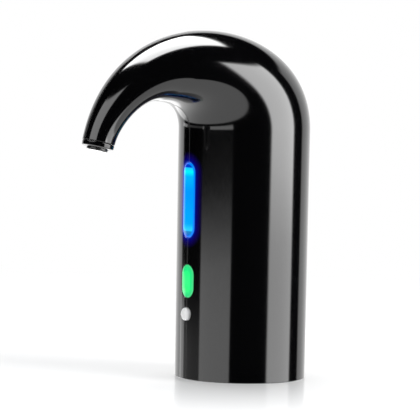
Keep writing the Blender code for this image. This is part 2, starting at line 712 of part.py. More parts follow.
def build_shell(name, side, finish):
    """One half shell with its ribs, boss, ledge and half apertures."""
    rings = [wall_outline(section, side) for section in shell_stations()]
    shell = loft(name, rings, finish, None, half_ring_cells())
    embed = SHELL_INNER_RADIUS + SHELL_WALL / 2
    boss_foot = DECK_TOP + SEAT_GAP
    boss_head = boss_foot + BOSS_HEIGHT
    boss = loft("boss", boss_rings(boss_foot, boss_head, embed), finish, around(side * BOSS_AZIMUTH))
    ledge_top = DECK_BOTTOM - SEAT_GAP
    ledge_angles = [side * (LEDGE_AZIMUTH + turn) for turn in (-LEDGE_HALF_ANGLE, LEDGE_HALF_ANGLE)]
    ledge = sector(
        "ledge", SHELL_INNER_RADIUS - LEDGE_DEPTH, embed, *ledge_angles,
        ledge_top - LEDGE_HEIGHT, ledge_top, finish,
    )
    corner = sqrt((BOARD_WIDTH / 2) ** 2 + BOARD_FRONT ** 2)
    rib_low = BOARD_HIGH - BOARD_RIB_DROP
    board_rib = sector(
        "board_rib", corner + SEAT_GAP, embed, side * BOARD_RIB_START, side * BOARD_RIB_END,
        rib_low, rib_low + BOARD_RIB_HEIGHT, finish,
    )
    ribs = [hose_rib(side, share, finish) for share in HOSE_RIB_SHARES]
    fuse(shell, [boss, ledge, board_rib] + ribs)
    pilot_head = boss_head - BOSS_PILOT_RADIUS
    pilot = rod(
        "pilot", boss_spot(side, boss_foot - OVERRUN), boss_spot(side, pilot_head),
        BOSS_PILOT_RADIUS, finish, TINY_SIDES,
    )
    window = aperture(PILL_RADIUS, (WINDOW_HIGH - WINDOW_LOW) / 2 - PILL_RADIUS, WINDOW_HEIGHT, finish)
    pour = aperture(PILL_RADIUS, (POUR_HIGH - POUR_LOW) / 2 - PILL_RADIUS, POUR_HEIGHT, finish)
    power = aperture(POWER_RADIUS, 0, POWER_HEIGHT, finish)
    return cut(shell, [pilot, window, pour, power])


# Nozzle

def build_nozzle(finishes):
    """Collar, insert, outlet tip and seal, all on the spout's axis."""
    place = tip_frame()
    collar = (
        (SLEEVE_BORE, 0), (TIP_RADIUS - COLLAR_ROUND, 0), (TIP_RADIUS, COLLAR_ROUND),
        (COLLAR_TOP_RADIUS, COLLAR_HEIGHT), (SLEEVE_RADIUS, COLLAR_HEIGHT),
        (SLEEVE_RADIUS, SLEEVE_DEPTH), (SLEEVE_BORE, SLEEVE_DEPTH),
    )
    turned("nozzle_ring", collar, finishes["gloss_black"], BARREL_SIDES, place)
    insert = (
        (INSERT_POCKET_RADIUS, -INSERT_PROUD), (INSERT_RADIUS, -INSERT_PROUD),
        (INSERT_RADIUS, INSERT_DEPTH), (0, INSERT_DEPTH), (0, INSERT_POCKET_DEPTH),
        (INSERT_POCKET_RADIUS, INSERT_POCKET_DEPTH),
    )
    body = turned("nozzle_insert", insert, finishes["inner_black"], BARREL_SIDES, place)
    top = INSERT_DEPTH + BARB_LENGTH
    root = (INSERT_POCKET_DEPTH + INSERT_DEPTH) / 2
    barbs = []
    for side, bore in ((WINE_HOSE_SIDE, WINE_HOSE_BORE), (-air_hose_side(), AIR_HOSE_BORE)):
        ends = (place @ Vector((side, 0, root)), place @ Vector((side, 0, top)))
        barbs.append(rod("barb", *ends, bore - BARB_CLEARANCE, finishes["inner_black"], TINY_SIDES))
    fuse(body, barbs)
    drill_ends = (
        place @ Vector((WINE_HOSE_SIDE, 0, INSERT_POCKET_DEPTH - OVERRUN)),
        place @ Vector((WINE_HOSE_SIDE, 0, top + OVERRUN)),
    )
    cut(body, [rod("drill", *drill_ends, WINE_BORE, finishes["inner_black"], TINY_SIDES)])
    shoulder = -INSERT_PROUD - SEAT_GAP
    outlet = (
        (OUTLET_BORE, shoulder - OUTLET_CONE_HEIGHT), (OUTLET_MOUTH_RADIUS, shoulder - OUTLET_CONE_HEIGHT),
        (OUTLET_FLANGE_RADIUS, shoulder), (OUTLET_STEM_RADIUS, shoulder),
        (OUTLET_STEM_RADIUS, OUTLET_STEM_LENGTH), (OUTLET_BORE, OUTLET_STEM_LENGTH),
    )
    turned("outlet_tip", outlet, finishes["steel"], BARREL_SIDES, place)
    seal_rise = SLEEVE_DEPTH + SEAT_GAP + NOZZLE_RING_SEAL
    seal_centre = INSERT_RADIUS + SEAT_GAP + NOZZLE_RING_SEAL
    seal_ring("nozzle_seal", seal_centre, NOZZLE_RING_SEAL, seal_rise, finishes["dark_rubber"], place)


def seal_ring(name, centre_radius, radius, height, finish, place=None):
    """A round-section sealing ring."""
    profile = []
    for index in range(SLIM_SIDES):
        angle = 2 * pi * index / SLIM_SIDES
        profile.append((centre_radius + radius * cos(angle), height + radius * sin(angle)))
    return turned(name, profile, finish, BARREL_SIDES, place)


# Front: window, buttons, switches and lights

def build_front(finishes):
    """Lit window with its guide, and the two push buttons."""
    half = (WINDOW_HIGH - WINDOW_LOW) / 2 - PILL_RADIUS
    flange = [(PILL_FLANGE_HALF, FLANGE_BACK), (PILL_FLANGE_HALF, FLANGE_FRONT)]
    lens = flange + dome_levels(PILL_RADIUS, FLANGE_FRONT, BODY_RADIUS - PILL_SINK, PILL_CROWN)
    pill_solid("light_window", lens, half, WINDOW_HEIGHT, finishes["blue_lens"])
    guide_front = FLANGE_BACK - SEAT_GAP
    guide_back = BOARD_FRONT + SEAT_GAP + LED_HEIGHT + SEAT_GAP
    block(
        "light_guide",
        (-GUIDE_WIDTH / 2, -guide_front, WINDOW_LOW + GUIDE_INSET),
        (GUIDE_WIDTH / 2, -guide_back, WINDOW_HIGH - GUIDE_INSET),
        finishes["diffuser"],
    )
    pour_half = (POUR_HIGH - POUR_LOW) / 2 - PILL_RADIUS
    stem = [(BUTTON_STEM_RADIUS, STEM_BACK), (BUTTON_STEM_RADIUS, FLANGE_BACK)]
    pour = pill_solid("pour_button", lens, pour_half, POUR_HEIGHT, finishes["green_lens"])
    power_flange = [(POWER_RADIUS + PILL_FLANGE, depth) for depth in (FLANGE_BACK, FLANGE_FRONT)]
    cap = dome_levels(POWER_RADIUS, FLANGE_FRONT, BODY_RADIUS + DOME_STEP, DOME_HEIGHT)
    power = pill_solid("power_button", stem + power_flange + cap, 0, POWER_HEIGHT, finishes["white_cap"])
    peg = rod("peg", (0, -STEM_BACK, POUR_HEIGHT), (0, -FLANGE_FRONT, POUR_HEIGHT),
              BUTTON_STEM_RADIUS, finishes["green_lens"])
    fuse(pour, [peg])
    hang_on_joint("pour_button_joint", (0, -FLANGE_BACK, POUR_HEIGHT), [pour])
    hang_on_joint("power_button_joint", (0, -FLANGE_BACK, POWER_HEIGHT), [power])


def build_board(finishes):
    """Circuit board with its switches, lights and two screws."""
    board = block(
        "main_board",
        (-BOARD_WIDTH / 2, -BOARD_FRONT, BOARD_LOW), (BOARD_WIDTH / 2, -BOARD_BACK, BOARD_HIGH),
        finishes["board"],
    )
    hole = BOARD_SCREW_RADIUS + SEAT_GAP
    drills = []
    for height in (LOWER_SCREW_HEIGHT, UPPER_SCREW_HEIGHT):
        start = (0, -BOARD_FRONT - OVERRUN, height)
        drills.append(rod("drill", start, (0, -BOARD_BACK + OVERRUN, height), hole, finishes["board"]))
    cut(board, drills)
    for name, height in (("pour_switch", POUR_HEIGHT), ("power_switch", POWER_HEIGHT)):
        body = block(
            name,
            (-SWITCH_WIDTH / 2, -SWITCH_FRONT, height - SWITCH_WIDTH / 2),
            (SWITCH_WIDTH / 2, -SWITCH_BACK, height + SWITCH_WIDTH / 2),
            finishes["inner_black"],
        )
        middle = (SWITCH_FRONT + SWITCH_BACK) / 2
        plunger = rod("plunger", (0, -middle, height), (0, -PLUNGER_FRONT, height),
                      PLUNGER_RADIUS, finishes["inner_black"], TINY_SIDES)
        fuse(body, [plunger])
    foot = BOARD_FRONT + SEAT_GAP
    for number, step in enumerate((-1, 0, 1), 1):
        height = WINDOW_HEIGHT + step * LED_SPACING
        light(f"blue_light_{number}", height, LED_WIDTH, foot, finishes["blue_lens"])
    green_height = POUR_HIGH - GREEN_LED_INSET
    light("green_light", green_height, GREEN_LED_WIDTH, foot, finishes["green_lens"])
    seat = Matrix.Rotation(pi / 2, 4, "X")
    head = BOARD_FRONT + SEAT_GAP
    reach = TUBE_RADIUS + STANDOFF_FLOOR + SEAT_GAP
    profile = (
        (0, head + BOARD_SCREW_HEAD_HEIGHT), (BOARD_SCREW_HEAD, head + BOARD_SCREW_HEAD_HEIGHT),
        (BOARD_SCREW_HEAD, head), (BOARD_SCREW_RADIUS, head), (BOARD_SCREW_RADIUS, reach), (0, reach),
    )
    for name, height in (("board_screw_1", LOWER_SCREW_HEIGHT), ("board_screw_2", UPPER_SCREW_HEIGHT)):
        place = Matrix.Translation((0, 0, height)) @ seat
        turned(name, profile, finishes["steel"], TINY_SIDES, place)


def light(name, height, width, foot, finish):
    """A small light on the board's front."""
    low = (-width / 2, -foot - LED_HEIGHT, height - width / 2)
    return block(name, low, (width / 2, -foot, height + width / 2), finish)


# Battery carrier, cells and contacts

def build_carrier(finishes):
    """Bottle socket, deck and cell fins in one moulding."""
    finish = finishes["inner_black"]
    spigot_hole = SPIGOT_RADIUS + RUNNING_GAP
    profile = (
        (SOCKET_RADIUS + MOUTH_CHAMFER, TUBE_LIFT), (TUBE_RADIUS, TUBE_LIFT), (TUBE_RADIUS, DECK_BOTTOM),
        (DECK_RADIUS, DECK_BOTTOM), (DECK_RADIUS, DECK_TOP), (spigot_hole, DECK_TOP),
        (spigot_hole, DECK_BOTTOM), (SOCKET_RADIUS, DECK_BOTTOM), (SOCKET_RADIUS, TUBE_LIFT + MOUTH_CHAMFER),
    )
    carrier = turned("battery_carrier", profile, finish, ROUND_SIDES)
    root = TUBE_RADIUS - TUBE_WALL / 2
    fin_end = CELL_RING_RADIUS + CELL_DIAMETER / 2
    parts = []
    for side in (1, -1):
        for azimuth in FIN_AZIMUTHS:
            low = (root, -FIN_THICKNESS / 2, CELL_BOTTOM)
            high = (fin_end, FIN_THICKNESS / 2, CELL_TOP)
            parts.append(block("fin", low, high, finish, around(side * azimuth)))
    parts.append(rod("standoff", (0, -root, LOWER_SCREW_HEIGHT), (0, -STANDOFF_FRONT, LOWER_SCREW_HEIGHT),
                     STANDOFF_RADIUS, finish))
    post_top = UPPER_SCREW_HEIGHT + STANDOFF_RADIUS
    parts.append(block(
        "post",
        (-STANDOFF_RADIUS, -STANDOFF_FRONT, DECK_TOP - DECK_THICKNESS / 2),
        (STANDOFF_RADIUS, -STANDOFF_FRONT + POST_THICKNESS, post_top),
        finish,
    ))
    fuse(carrier, parts)
    recess_half = BOARD_WIDTH / 2 + RUNNING_GAP
    tools = [block(
        "recess",
        (-recess_half, -DECK_RADIUS - OVERRUN, DECK_BOTTOM - OVERRUN),
        (recess_half, -STANDOFF_FRONT, DECK_TOP + OVERRUN),
        finish,
    )]
    for side in (1, -1):
        tools.append(rod("drill", boss_spot(side, DECK_BOTTOM - OVERRUN), boss_spot(side, DECK_TOP + OVERRUN),
                         DECK_SCREW_HOLE, finish, TINY_SIDES))
        spot = lead_spot(side)
        ends = [spot + Vector((0, 0, z)) for z in (DECK_BOTTOM - OVERRUN, DECK_TOP + OVERRUN)]
        tools.append(rod("drill", *ends, WIRE_HOLE_RADIUS, finish, TINY_SIDES))
    pilot = BOARD_SCREW_RADIUS + SEAT_GAP
    for height in (LOWER_SCREW_HEIGHT, UPPER_SCREW_HEIGHT):
        ends = [(0, -depth, height) for depth in (STANDOFF_FRONT + OVERRUN, TUBE_RADIUS + STANDOFF_FLOOR)]
        tools.append(rod("pilot", *ends, pilot, finish, TINY_SIDES))
    return cut(carrier, tools)


def lead_spot(side):
    """Where a battery lead passes the deck, over the front cell."""
    return facing(side * CELL_AZIMUTHS[0]) * CELL_RING_RADIUS


def build_cells(finishes):
    """Six cells, neighbours head to tail."""
    radius = CELL_DIAMETER / 2
    shoulder = CELL_LENGTH - NUB_HEIGHT
    profile = ((0, 0), (radius, 0), (radius, shoulder), (NUB_RADIUS, shoulder),
               (NUB_RADIUS, CELL_LENGTH), (0, CELL_LENGTH))
    number = 0
    for side in (1, -1):
        for index, azimuth in enumerate(CELL_AZIMUTHS):
            number += 1
            spot = facing(side * azimuth) * CELL_RING_RADIUS
            place = Matrix.Translation(spot + Vector((0, 0, CELL_BOTTOM)))
            if (index % 2 == 0) == (side > 0):
                flip = Matrix.Translation((0, 0, CELL_LENGTH)) @ Matrix.Rotation(pi, 4, "X")
                place = place @ flip
            turned(f"battery_{number}", profile, finishes["cell_jacket"], BARREL_SIDES, place)


def contact(name, start, end, low, finishes):
    """A flat strip along the cell ring."""
    inner = CELL_RING_RADIUS - CONTACT_WIDTH / 2
    return sector(name, inner, inner + CONTACT_WIDTH, start, end, low, low + CONTACT_THICKNESS,
                  finishes["spring_steel"])


def build_contacts(finishes):
    """Upper strips under the deck, and sprung lower strips on the cover."""
    first, middle, last = CELL_AZIMUTHS
    end = CONTACT_END_ANGLE
    lower = []
    for side, hand in ((1, "right"), (-1, "left")):
        contact(f"upper_lead_contact_{hand}", side * (first - end), side * (first + end),
                UPPER_CONTACT, finishes)
        contact(f"upper_bridge_contact_{hand}", side * (middle - end), side * (last + end),
                UPPER_CONTACT, finishes)
        strip = contact(f"lower_contact_{hand}", side * (first - end), side * (middle + end),
                        LOWER_CONTACT, finishes)
        lower.append(fuse(strip, [spring_seat(side * turn, finishes) for turn in (first, middle)]))
    rear = contact("lower_contact_rear", last - end, 2 * pi - last + end, LOWER_CONTACT, finishes)
    lower.append(fuse(rear, [spring_seat(turn, finishes) for turn in (last, -last)]))
    return lower


def spring_seat(azimuth, finishes):
    """The cone of a coil spring that presses on a cell's end."""
    foot = LOWER_CONTACT + CONTACT_THICKNESS / 2
    top = LOWER_CONTACT + CONTACT_THICKNESS + CONTACT_SPRING_HEIGHT
    profile = ((0, foot), (SPRING_BASE_RADIUS, foot), (SPRING_TOP_RADIUS, top), (0, top))
    spot = facing(azimuth) * CELL_RING_RADIUS
    return turned("spring", profile, finishes["spring_steel"], TINY_SIDES, Matrix.Translation(spot))


def build_cover(finishes):
    """Ring-shaped battery cover that pulls straight down out of the base."""
    finish = finishes["inner_black"]
    inner = TUBE_RADIUS + RUNNING_GAP
    outer = SHELL_FLAT_RADIUS - RUNNING_GAP
    rim = outer - COVER_RIM_WALL
    rim_top = COVER_TOP + COVER_RIM_HEIGHT
    profile = (
        (inner, COVER_RECESS), (outer, COVER_RECESS), (outer, rim_top), (rim, rim_top),
        (rim, COVER_TOP), (inner, COVER_TOP),
    )
    cover = turned("battery_cover", profile, finish, ROUND_SIDES)
    post_inner = CELL_RING_RADIUS + CONTACT_WIDTH / 2 + SEAT_GAP
    posts = []
    for turn in (0, pi):
        posts.append(sector(
            "post", post_inner, post_inner + COVER_POST_WALL, turn - COVER_POST_HALF_ANGLE,
            turn + COVER_POST_HALF_ANGLE, COVER_TOP - COVER_THICKNESS / 2,
            COVER_TOP + COVER_POST_HEIGHT, finish,
        ))
    fuse(cover, posts)
    spot = facing(NOTCH_AZIMUTH) * (outer + RUNNING_GAP)
    ends = [spot + Vector((0, 0, height)) for height in (COVER_RECESS - OVERRUN, rim_top + OVERRUN)]
    return cut(cover, [rod("notch", *ends, NOTCH_RADIUS, finish)])


# Socket fittings

def build_grip(finishes):
    """Ribbed silicone ring that holds the bottle's neck."""
    outer = SOCKET_RADIUS - SEAT_GAP
    bore = outer - GRIP_THICKNESS
    low = TUBE_LIFT + MOUTH_CHAMFER
    pitch = GRIP_LENGTH / GRIP_RIBS
    profile = [(outer, low), (outer, low + GRIP_LENGTH)]
    for index in range(GRIP_RIBS):
        top = low + GRIP_LENGTH - index * pitch
        profile.append((bore + GRIP_GROOVE, top))
        profile.append((bore, top - pitch / 2))
    profile.append((bore + GRIP_GROOVE, low))
    return turned("neck_grip", profile, finishes["silicone"], ROUND_SIDES)


def build_stopper(finishes):
    """Silicone stopper that seals the bottle's mouth, with the dip tube's neck below."""
    top = DECK_BOTTOM - SEAT_GAP
    flange_bottom = top - STOPPER_FLANGE_HEIGHT
    cone_bottom = flange_bottom - STOPPER_LENGTH
    neck_bottom = cone_bottom - STOPPER_NECK_LENGTH
    pocket = SPIGOT_RADIUS + SPIGOT_CLEARANCE
    pocket_floor = DECK_BOTTOM - SPIGOT_LENGTH - SEAT_GAP
    profile = (
        (STOPPER_BORE, neck_bottom), (STOPPER_NECK_RADIUS, neck_bottom), (STOPPER_NECK_RADIUS, cone_bottom),
        (STOPPER_END_RADIUS, cone_bottom), (STOPPER_TOP_RADIUS, flange_bottom),
        (STOPPER_FLANGE_RADIUS, flange_bottom), (STOPPER_FLANGE_RADIUS, top), (pocket, top),
        (pocket, pocket_floor), (STOPPER_BORE, pocket_floor),
    )
    return turned("stopper", profile, finishes["silicone"], BARREL_SIDES)


def build_manifold(finishes):
    """Joins the stopper's spigot to the wine hose and the two air hoses."""
    finish = finishes["inner_black"]
    spigot_foot = DECK_BOTTOM - SPIGOT_LENGTH
    groove_low = spigot_foot + SPIGOT_GROOVE_RISE
    groove_high = groove_low + SPIGOT_GROOVE_WIDTH
    groove_radius = SPIGOT_RADIUS - SPIGOT_GROOVE_DEPTH
    flange_top = MOUNT_BOTTOM + MANIFOLD_FLANGE_HEIGHT
    profile = (
        (0, spigot_foot), (SPIGOT_RADIUS, spigot_foot), (SPIGOT_RADIUS, groove_low),
        (groove_radius, groove_low), (groove_radius, groove_high), (SPIGOT_RADIUS, groove_high),
        (SPIGOT_RADIUS, MOUNT_BOTTOM), (MANIFOLD_FLANGE_RADIUS, MOUNT_BOTTOM),
        (MANIFOLD_FLANGE_RADIUS, flange_top), (0, flange_top),
    )
    manifold = turned("manifold", profile, finish, BARREL_SIDES)
    block_back = PUMP_AXIS - CUP_RADIUS - SEAT_GAP - RUNNING_GAP
    middle = MOUNT_BOTTOM + MANIFOLD_FLANGE_HEIGHT / 2
    upper = block(
        "upper",
        (-MANIFOLD_BLOCK_HALF_WIDTH, -MANIFOLD_BLOCK_FRONT, middle),
        (MANIFOLD_BLOCK_HALF_WIDTH, block_back, MANIFOLD_TOP),
        finish,
    )
    hose_y = -WINE_HOSE_FORWARD
    barb_top = MANIFOLD_TOP + MANIFOLD_BARB_LENGTH
    root = MANIFOLD_TOP - MANIFOLD_BLOCK_HEIGHT / 2
    wine = rod("wine", (0, hose_y, root), (0, hose_y, barb_top), WINE_HOSE_BORE - BARB_CLEARANCE,
               finish, TINY_SIDES)
    air = rod("air", (-AIR_HOSE_START, hose_y, root), (-AIR_HOSE_START, hose_y, barb_top),
              AIR_HOSE_BORE - BARB_CLEARANCE, finish, TINY_SIDES)
    port_root = (MANIFOLD_BLOCK_HALF_WIDTH - MANIFOLD_BARB_LENGTH / 2, hose_y, AIR_PORT_HEIGHT)
    port_end = (MANIFOLD_BLOCK_HALF_WIDTH + BARB_LENGTH, hose_y, AIR_PORT_HEIGHT)
    port = rod("port", port_root, port_end, AIR_HOSE_BORE - BARB_CLEARANCE, finish, TINY_SIDES)
    fuse(manifold, [upper, wine, air, port])
    drill = rod("drill", (0, hose_y, spigot_foot - OVERRUN), (0, hose_y, barb_top + OVERRUN),
                WINE_BORE, finish, TINY_SIDES)
    cut(manifold, [drill])
    seal_centre = groove_radius + SEAT_GAP + SPIGOT_SEAL_RADIUS
    seal_height = (groove_low + groove_high) / 2
    seal_ring("spigot_seal", seal_centre, SPIGOT_SEAL_RADIUS, seal_height, finishes["dark_rubber"])


# Hoses and leads

def air_hose_side():
    """Offset of the aeration hose beside the wine hose inside the spout."""
    return WINE_HOSE_RADIUS + AIR_HOSE_RADIUS + SEAT_GAP - WINE_HOSE_SIDE


def hose(name, path, radius, bore, sides, finish):
    """A hollow hose along a path of points, square at both ends."""
    shape = bmesh.new()
    outer, inner = [], []
    for index, point in enumerate(path):
        before = path[max(index - 1, 0)]
        after = path[min(index + 1, len(path) - 1)]
        turn = (after - before).to_track_quat("Z", "X")
        for rings, size in ((outer, radius), (inner, bore)):
            ring = []
            for step in range(sides):
                angle = 2 * pi * step / sides
                spot = turn @ Vector((size * cos(angle), size * sin(angle), 0))
                ring.append(shape.verts.new(point + spot))
            rings.append(ring)
    loop = outer + list(reversed(inner))
    for first, second in zip(loop, loop[1:] + loop[:1]):
        skin(shape, first, second)
    return finish_solid(name, shape, finish)


def arch_path(start_side, end_side):
    """Route from the manifold up the barrel, over the arch and down to the nozzle insert."""
    low = MANIFOLD_TOP + SEAT_GAP
    middle_line = []
    for index in range(HOSE_BARREL_STATIONS):
        rise = (STRAIGHT_TOP - low) * index / HOSE_BARREL_STATIONS
        middle_line.append(Vector((0, 0, low + rise)))
    arch_count = HOSE_STATIONS - HOSE_BARREL_STATIONS
    for index in range(arch_count):
        middle_line.append(arch_section(HOSE_END_SHARE * index / (arch_count - 1))[0])
    for rise in (HOSE_END_RUN, 0):
        middle_line.append(tip_frame() @ Vector((0, 0, INSERT_DEPTH + SEAT_GAP + rise)))
    path = []
    for index, point in enumerate(middle_line):
        share = min(1, index / HOSE_BARREL_STATIONS)
        ease = share * share * (3 - 2 * share)
        side = start_side + (end_side - start_side) * ease
        path.append(point + Vector((side, -WINE_HOSE_FORWARD * (1 - ease), 0)))
    return path


def build_hoses(finishes):
    """Wine hose, aeration hose and the pump's short air hose."""
    wine = arch_path(0, WINE_HOSE_SIDE)
    hose("wine_hose", wine, WINE_HOSE_RADIUS, WINE_HOSE_BORE, TINY_SIDES, finishes["clear_hose"])
    air = arch_path(-AIR_HOSE_START, -air_hose_side())
    hose("aeration_hose", air, AIR_HOSE_RADIUS, AIR_HOSE_BORE, SLIM_SIDES, finishes["clear_hose"])
    start = Vector((MOTOR_RADIUS + SEAT_GAP, PUMP_AXIS, HEAD_TOP - NIPPLE_DROP))
    end = Vector((MANIFOLD_BLOCK_HALF_WIDTH + SEAT_GAP, -WINE_HOSE_FORWARD, AIR_PORT_HEIGHT))
    run = Vector((BARB_LENGTH, 0, 0))
    loop = Vector((AIR_LOOP_HANDLE, 0, 0))
    bend = (start + run, start + run + loop, end + run + loop, end + run)
    path = [start]
    for index in range(AIR_LOOP_STATIONS + 1):
        path.append(curve_through(*bend, index / AIR_LOOP_STATIONS))
    path.append(end)
    hose("pump_air_hose", path, AIR_HOSE_RADIUS, AIR_HOSE_BORE, SLIM_SIDES, finishes["clear_hose"])


def lead(name, start, start_way, end, end_way, handle, finish):
    """A thin lead on one smooth curve, leaving each end along its own direction."""
    points = []
    for index in range(LEAD_STATIONS + 1):
        share = index / LEAD_STATIONS
        handles = (start + start_way * handle, end + end_way * handle)
        points.append(curve_through(start, *handles, end, share))
    curve = bpy.data.curves.new(name, "CURVE")
    curve.dimensions = "3D"
    curve.bevel_depth = LEAD_RADIUS
    curve.bevel_resolution = 1
    curve.use_fill_caps = True
    curve.materials.append(finish)
    line = curve.splines.new("POLY")
    line.points.add(len(points) - 1)
    for spot, point in zip(line.points, points):
        spot.co = (*point, 1)
    wire = bpy.data.objects.new(name, curve)
    bpy.context.scene.collection.objects.link(wire)
    return wire


def build_leads(finishes):
    """Leads from the cells and from the motor to the board's back."""
    up = Vector((0, 0, 1))
    back = Vector((0, 1, 0))
    board_back = -BOARD_BACK + SEAT_GAP
    colours = {1: "red_lead", -1: "black_lead"}
    for side, hand in ((1, "right"), (-1, "left")):
        across = Vector((side, 0, 0))
        start = lead_spot(side) + up * (UPPER_CONTACT + CONTACT_THICKNESS + SEAT_GAP)
        end_height = UPPER_SCREW_HEIGHT + BATTERY_LEAD_RISE
        end = Vector((side * BATTERY_LEAD_END, board_back, end_height))
        lead(f"battery_lead_{hand}", start, up, end, back, BATTERY_LEAD_HANDLE, finishes[colours[side]])
        start = Vector((side * MOTOR_LEAD_START, PUMP_AXIS, END_CAP_TOP + SEAT_GAP + LEAD_RADIUS))
        end = Vector((side * MOTOR_LEAD_END, board_back + LEAD_RADIUS, BOARD_HIGH - MOTOR_LEAD_DROP))
        lead(f"motor_lead_{hand}", start, (up + across).normalized(), end, (back + across).normalized(),
             MOTOR_LEAD_HANDLE, finishes[colours[side]])


# Air pump and motor

def pump_frame_matrix():
    return Matrix.Translation((0, PUMP_AXIS, 0))


def lug_spot(side, height):
    """A pump screw's axis: beside the pump, turned towards the back."""
    return facing(side * LUG_AZIMUTH) * (MOTOR_RADIUS + LUG_REACH) + Vector((0, PUMP_AXIS, height))


def add_lugs(body, low, high, finish, extras=()):
    """Screw lugs on both sides of a pump piece and what else it carries, then the holes."""
    lugs, holes = [], []
    for side in (1, -1):
        lugs.append(rod("lug", lug_spot(side, low), lug_spot(side, high), LUG_RADIUS, finish))
        ends = (lug_spot(side, low - OVERRUN), lug_spot(side, high + OVERRUN))
        holes.append(rod("hole", *ends, LUG_HOLE, finish, TINY_SIDES))
    fuse(body, lugs + list(extras))
    return cut(body, holes)


def build_pump(finishes):
    """Rubber cup, pump head, valve plate, diaphragm, frame and screws."""
    place = pump_frame_matrix()
    rubber = finishes["dark_rubber"]
    black = finishes["inner_black"]
    cup_profile = (
        (0, CUP_BOTTOM), (CUP_RADIUS, CUP_BOTTOM), (CUP_RADIUS, CUP_BOTTOM + CUP_HEIGHT),
        (CUP_RADIUS - CUP_WALL, CUP_BOTTOM + CUP_HEIGHT), (CUP_RADIUS - CUP_WALL, CUP_BOTTOM + CUP_FLOOR),
        (0, CUP_BOTTOM + CUP_FLOOR),
    )
    cup = turned("pump_cup", cup_profile, rubber, BARREL_SIDES, place)
    pedestal_front = MANIFOLD_FLANGE_RADIUS + PEDESTAL_GAP
    pedestal_back = PUMP_AXIS + PEDESTAL_HALF_WIDTH
    pedestal = block(
        "pedestal",
        (-PEDESTAL_HALF_WIDTH, pedestal_front, MOUNT_BOTTOM),
        (PEDESTAL_HALF_WIDTH, pedestal_back, CUP_BOTTOM + CUP_FLOOR / 2),
        rubber,
    )
    fuse(cup, [pedestal])
    head = turned("pump_head", solid_profile(MOTOR_RADIUS, HEAD_BOTTOM, HEAD_TOP), black, BARREL_SIDES, place)
    add_lugs(head, HEAD_TOP - LUG_HEIGHT, HEAD_TOP, black)
    nipple_height = HEAD_TOP - NIPPLE_DROP
    add_nipples(head, nipple_height, black)
    valve_profile = solid_profile(MOTOR_RADIUS, VALVE_BOTTOM, VALVE_TOP)
    valve = turned("valve_plate", valve_profile, black, BARREL_SIDES, place)
    add_lugs(valve, VALVE_BOTTOM, VALVE_TOP, black)
    ports = []
    for spot in cup_spots():
        ends = (spot + Vector((0, 0, VALVE_BOTTOM - OVERRUN)), spot + Vector((0, 0, VALVE_TOP + OVERRUN)))
        ports.append(rod("port", *ends, VALVE_PORT_RADIUS, black, TINY_SIDES))
    cut(valve, ports)
    sheet_profile = solid_profile(MOTOR_RADIUS, DIAPHRAGM_BOTTOM, DIAPHRAGM_TOP)
    sheet = turned("diaphragm", sheet_profile, rubber, BARREL_SIDES, place)
    cups = []
    cup_top = DIAPHRAGM_TOP + DIAPHRAGM_CUP_HEIGHT
    for spot in cup_spots():
        foot = DIAPHRAGM_TOP - DIAPHRAGM_THICKNESS / 2
        profile = ((0, foot), (DIAPHRAGM_CUP_RADIUS, foot), (DIAPHRAGM_CUP_TOP_RADIUS, cup_top), (0, cup_top))
        cups.append(turned("cup", profile, rubber, SMALL_SIDES, Matrix.Translation(spot)))
    add_lugs(sheet, DIAPHRAGM_BOTTOM, DIAPHRAGM_TOP, rubber, cups)
    wall = MOTOR_RADIUS - FRAME_WALL
    plate = FRAME_TOP - FRAME_PLATE
    frame_profile = (
        (wall, FRAME_BOTTOM), (MOTOR_RADIUS, FRAME_BOTTOM), (MOTOR_RADIUS, FRAME_TOP),
        (FRAME_HOLE, FRAME_TOP), (FRAME_HOLE, plate), (wall, plate),
    )
    frame = turned("pump_frame", frame_profile, black, BARREL_SIDES, place)
    add_frame_lugs(frame, black)
    screw_foot = HEAD_TOP - LUG_HEIGHT - SEAT_GAP
    screw_profile = (
        (0, screw_foot - PUMP_SCREW_HEAD_HEIGHT), (PUMP_SCREW_HEAD, screw_foot - PUMP_SCREW_HEAD_HEIGHT),
        (PUMP_SCREW_HEAD, screw_foot), (PUMP_SCREW_RADIUS, screw_foot),
        (PUMP_SCREW_RADIUS, FRAME_BOTTOM + LUG_HEIGHT), (0, FRAME_BOTTOM + LUG_HEIGHT),
    )
    for side, hand in ((1, "right"), (-1, "left")):
        spot = Matrix.Translation(lug_spot(side, 0))
        turned(f"pump_screw_{hand}", screw_profile, finishes["steel"], TINY_SIDES, spot)


def solid_profile(radius, low, high):
    return ((0, low), (radius, low), (radius, high), (0, high))


def add_nipples(head, height, finish):
    """Outlet and inlet nipples on the two sides of the pump head, in front of the lugs."""
    nipples = []
    for side in (1, -1):
        start = Vector((side * (MOTOR_RADIUS - BARB_LENGTH), PUMP_AXIS, height))
        end = Vector((side * (MOTOR_RADIUS + BARB_LENGTH), PUMP_AXIS, height))
        nipples.append(rod("nipple", start, end, AIR_HOSE_BORE - BARB_CLEARANCE, finish, TINY_SIDES))
    return fuse(head, nipples)


def add_frame_lugs(frame, finish):
    """Blind lugs on the frame's sides, outside its wall."""
    lugs, holes = [], []
    for side in (1, -1):
        low, high = FRAME_BOTTOM, FRAME_BOTTOM + LUG_HEIGHT + LUG_HOLE
        lugs.append(rod("lug", lug_spot(side, low), lug_spot(side, high), LUG_RADIUS, finish))
        ends = (lug_spot(side, low - OVERRUN), lug_spot(side, FRAME_BOTTOM + LUG_HEIGHT + SEAT_GAP))
        holes.append(rod("hole", *ends, LUG_HOLE, finish, TINY_SIDES))
    bore_profile = solid_profile(MOTOR_RADIUS - FRAME_WALL, FRAME_BOTTOM - OVERRUN, FRAME_TOP - FRAME_PLATE)
    bore = turned("bore", bore_profile, finish, BARREL_SIDES, pump_frame_matrix())
    fuse(frame, lugs)
    return cut(frame, holes + [bore])


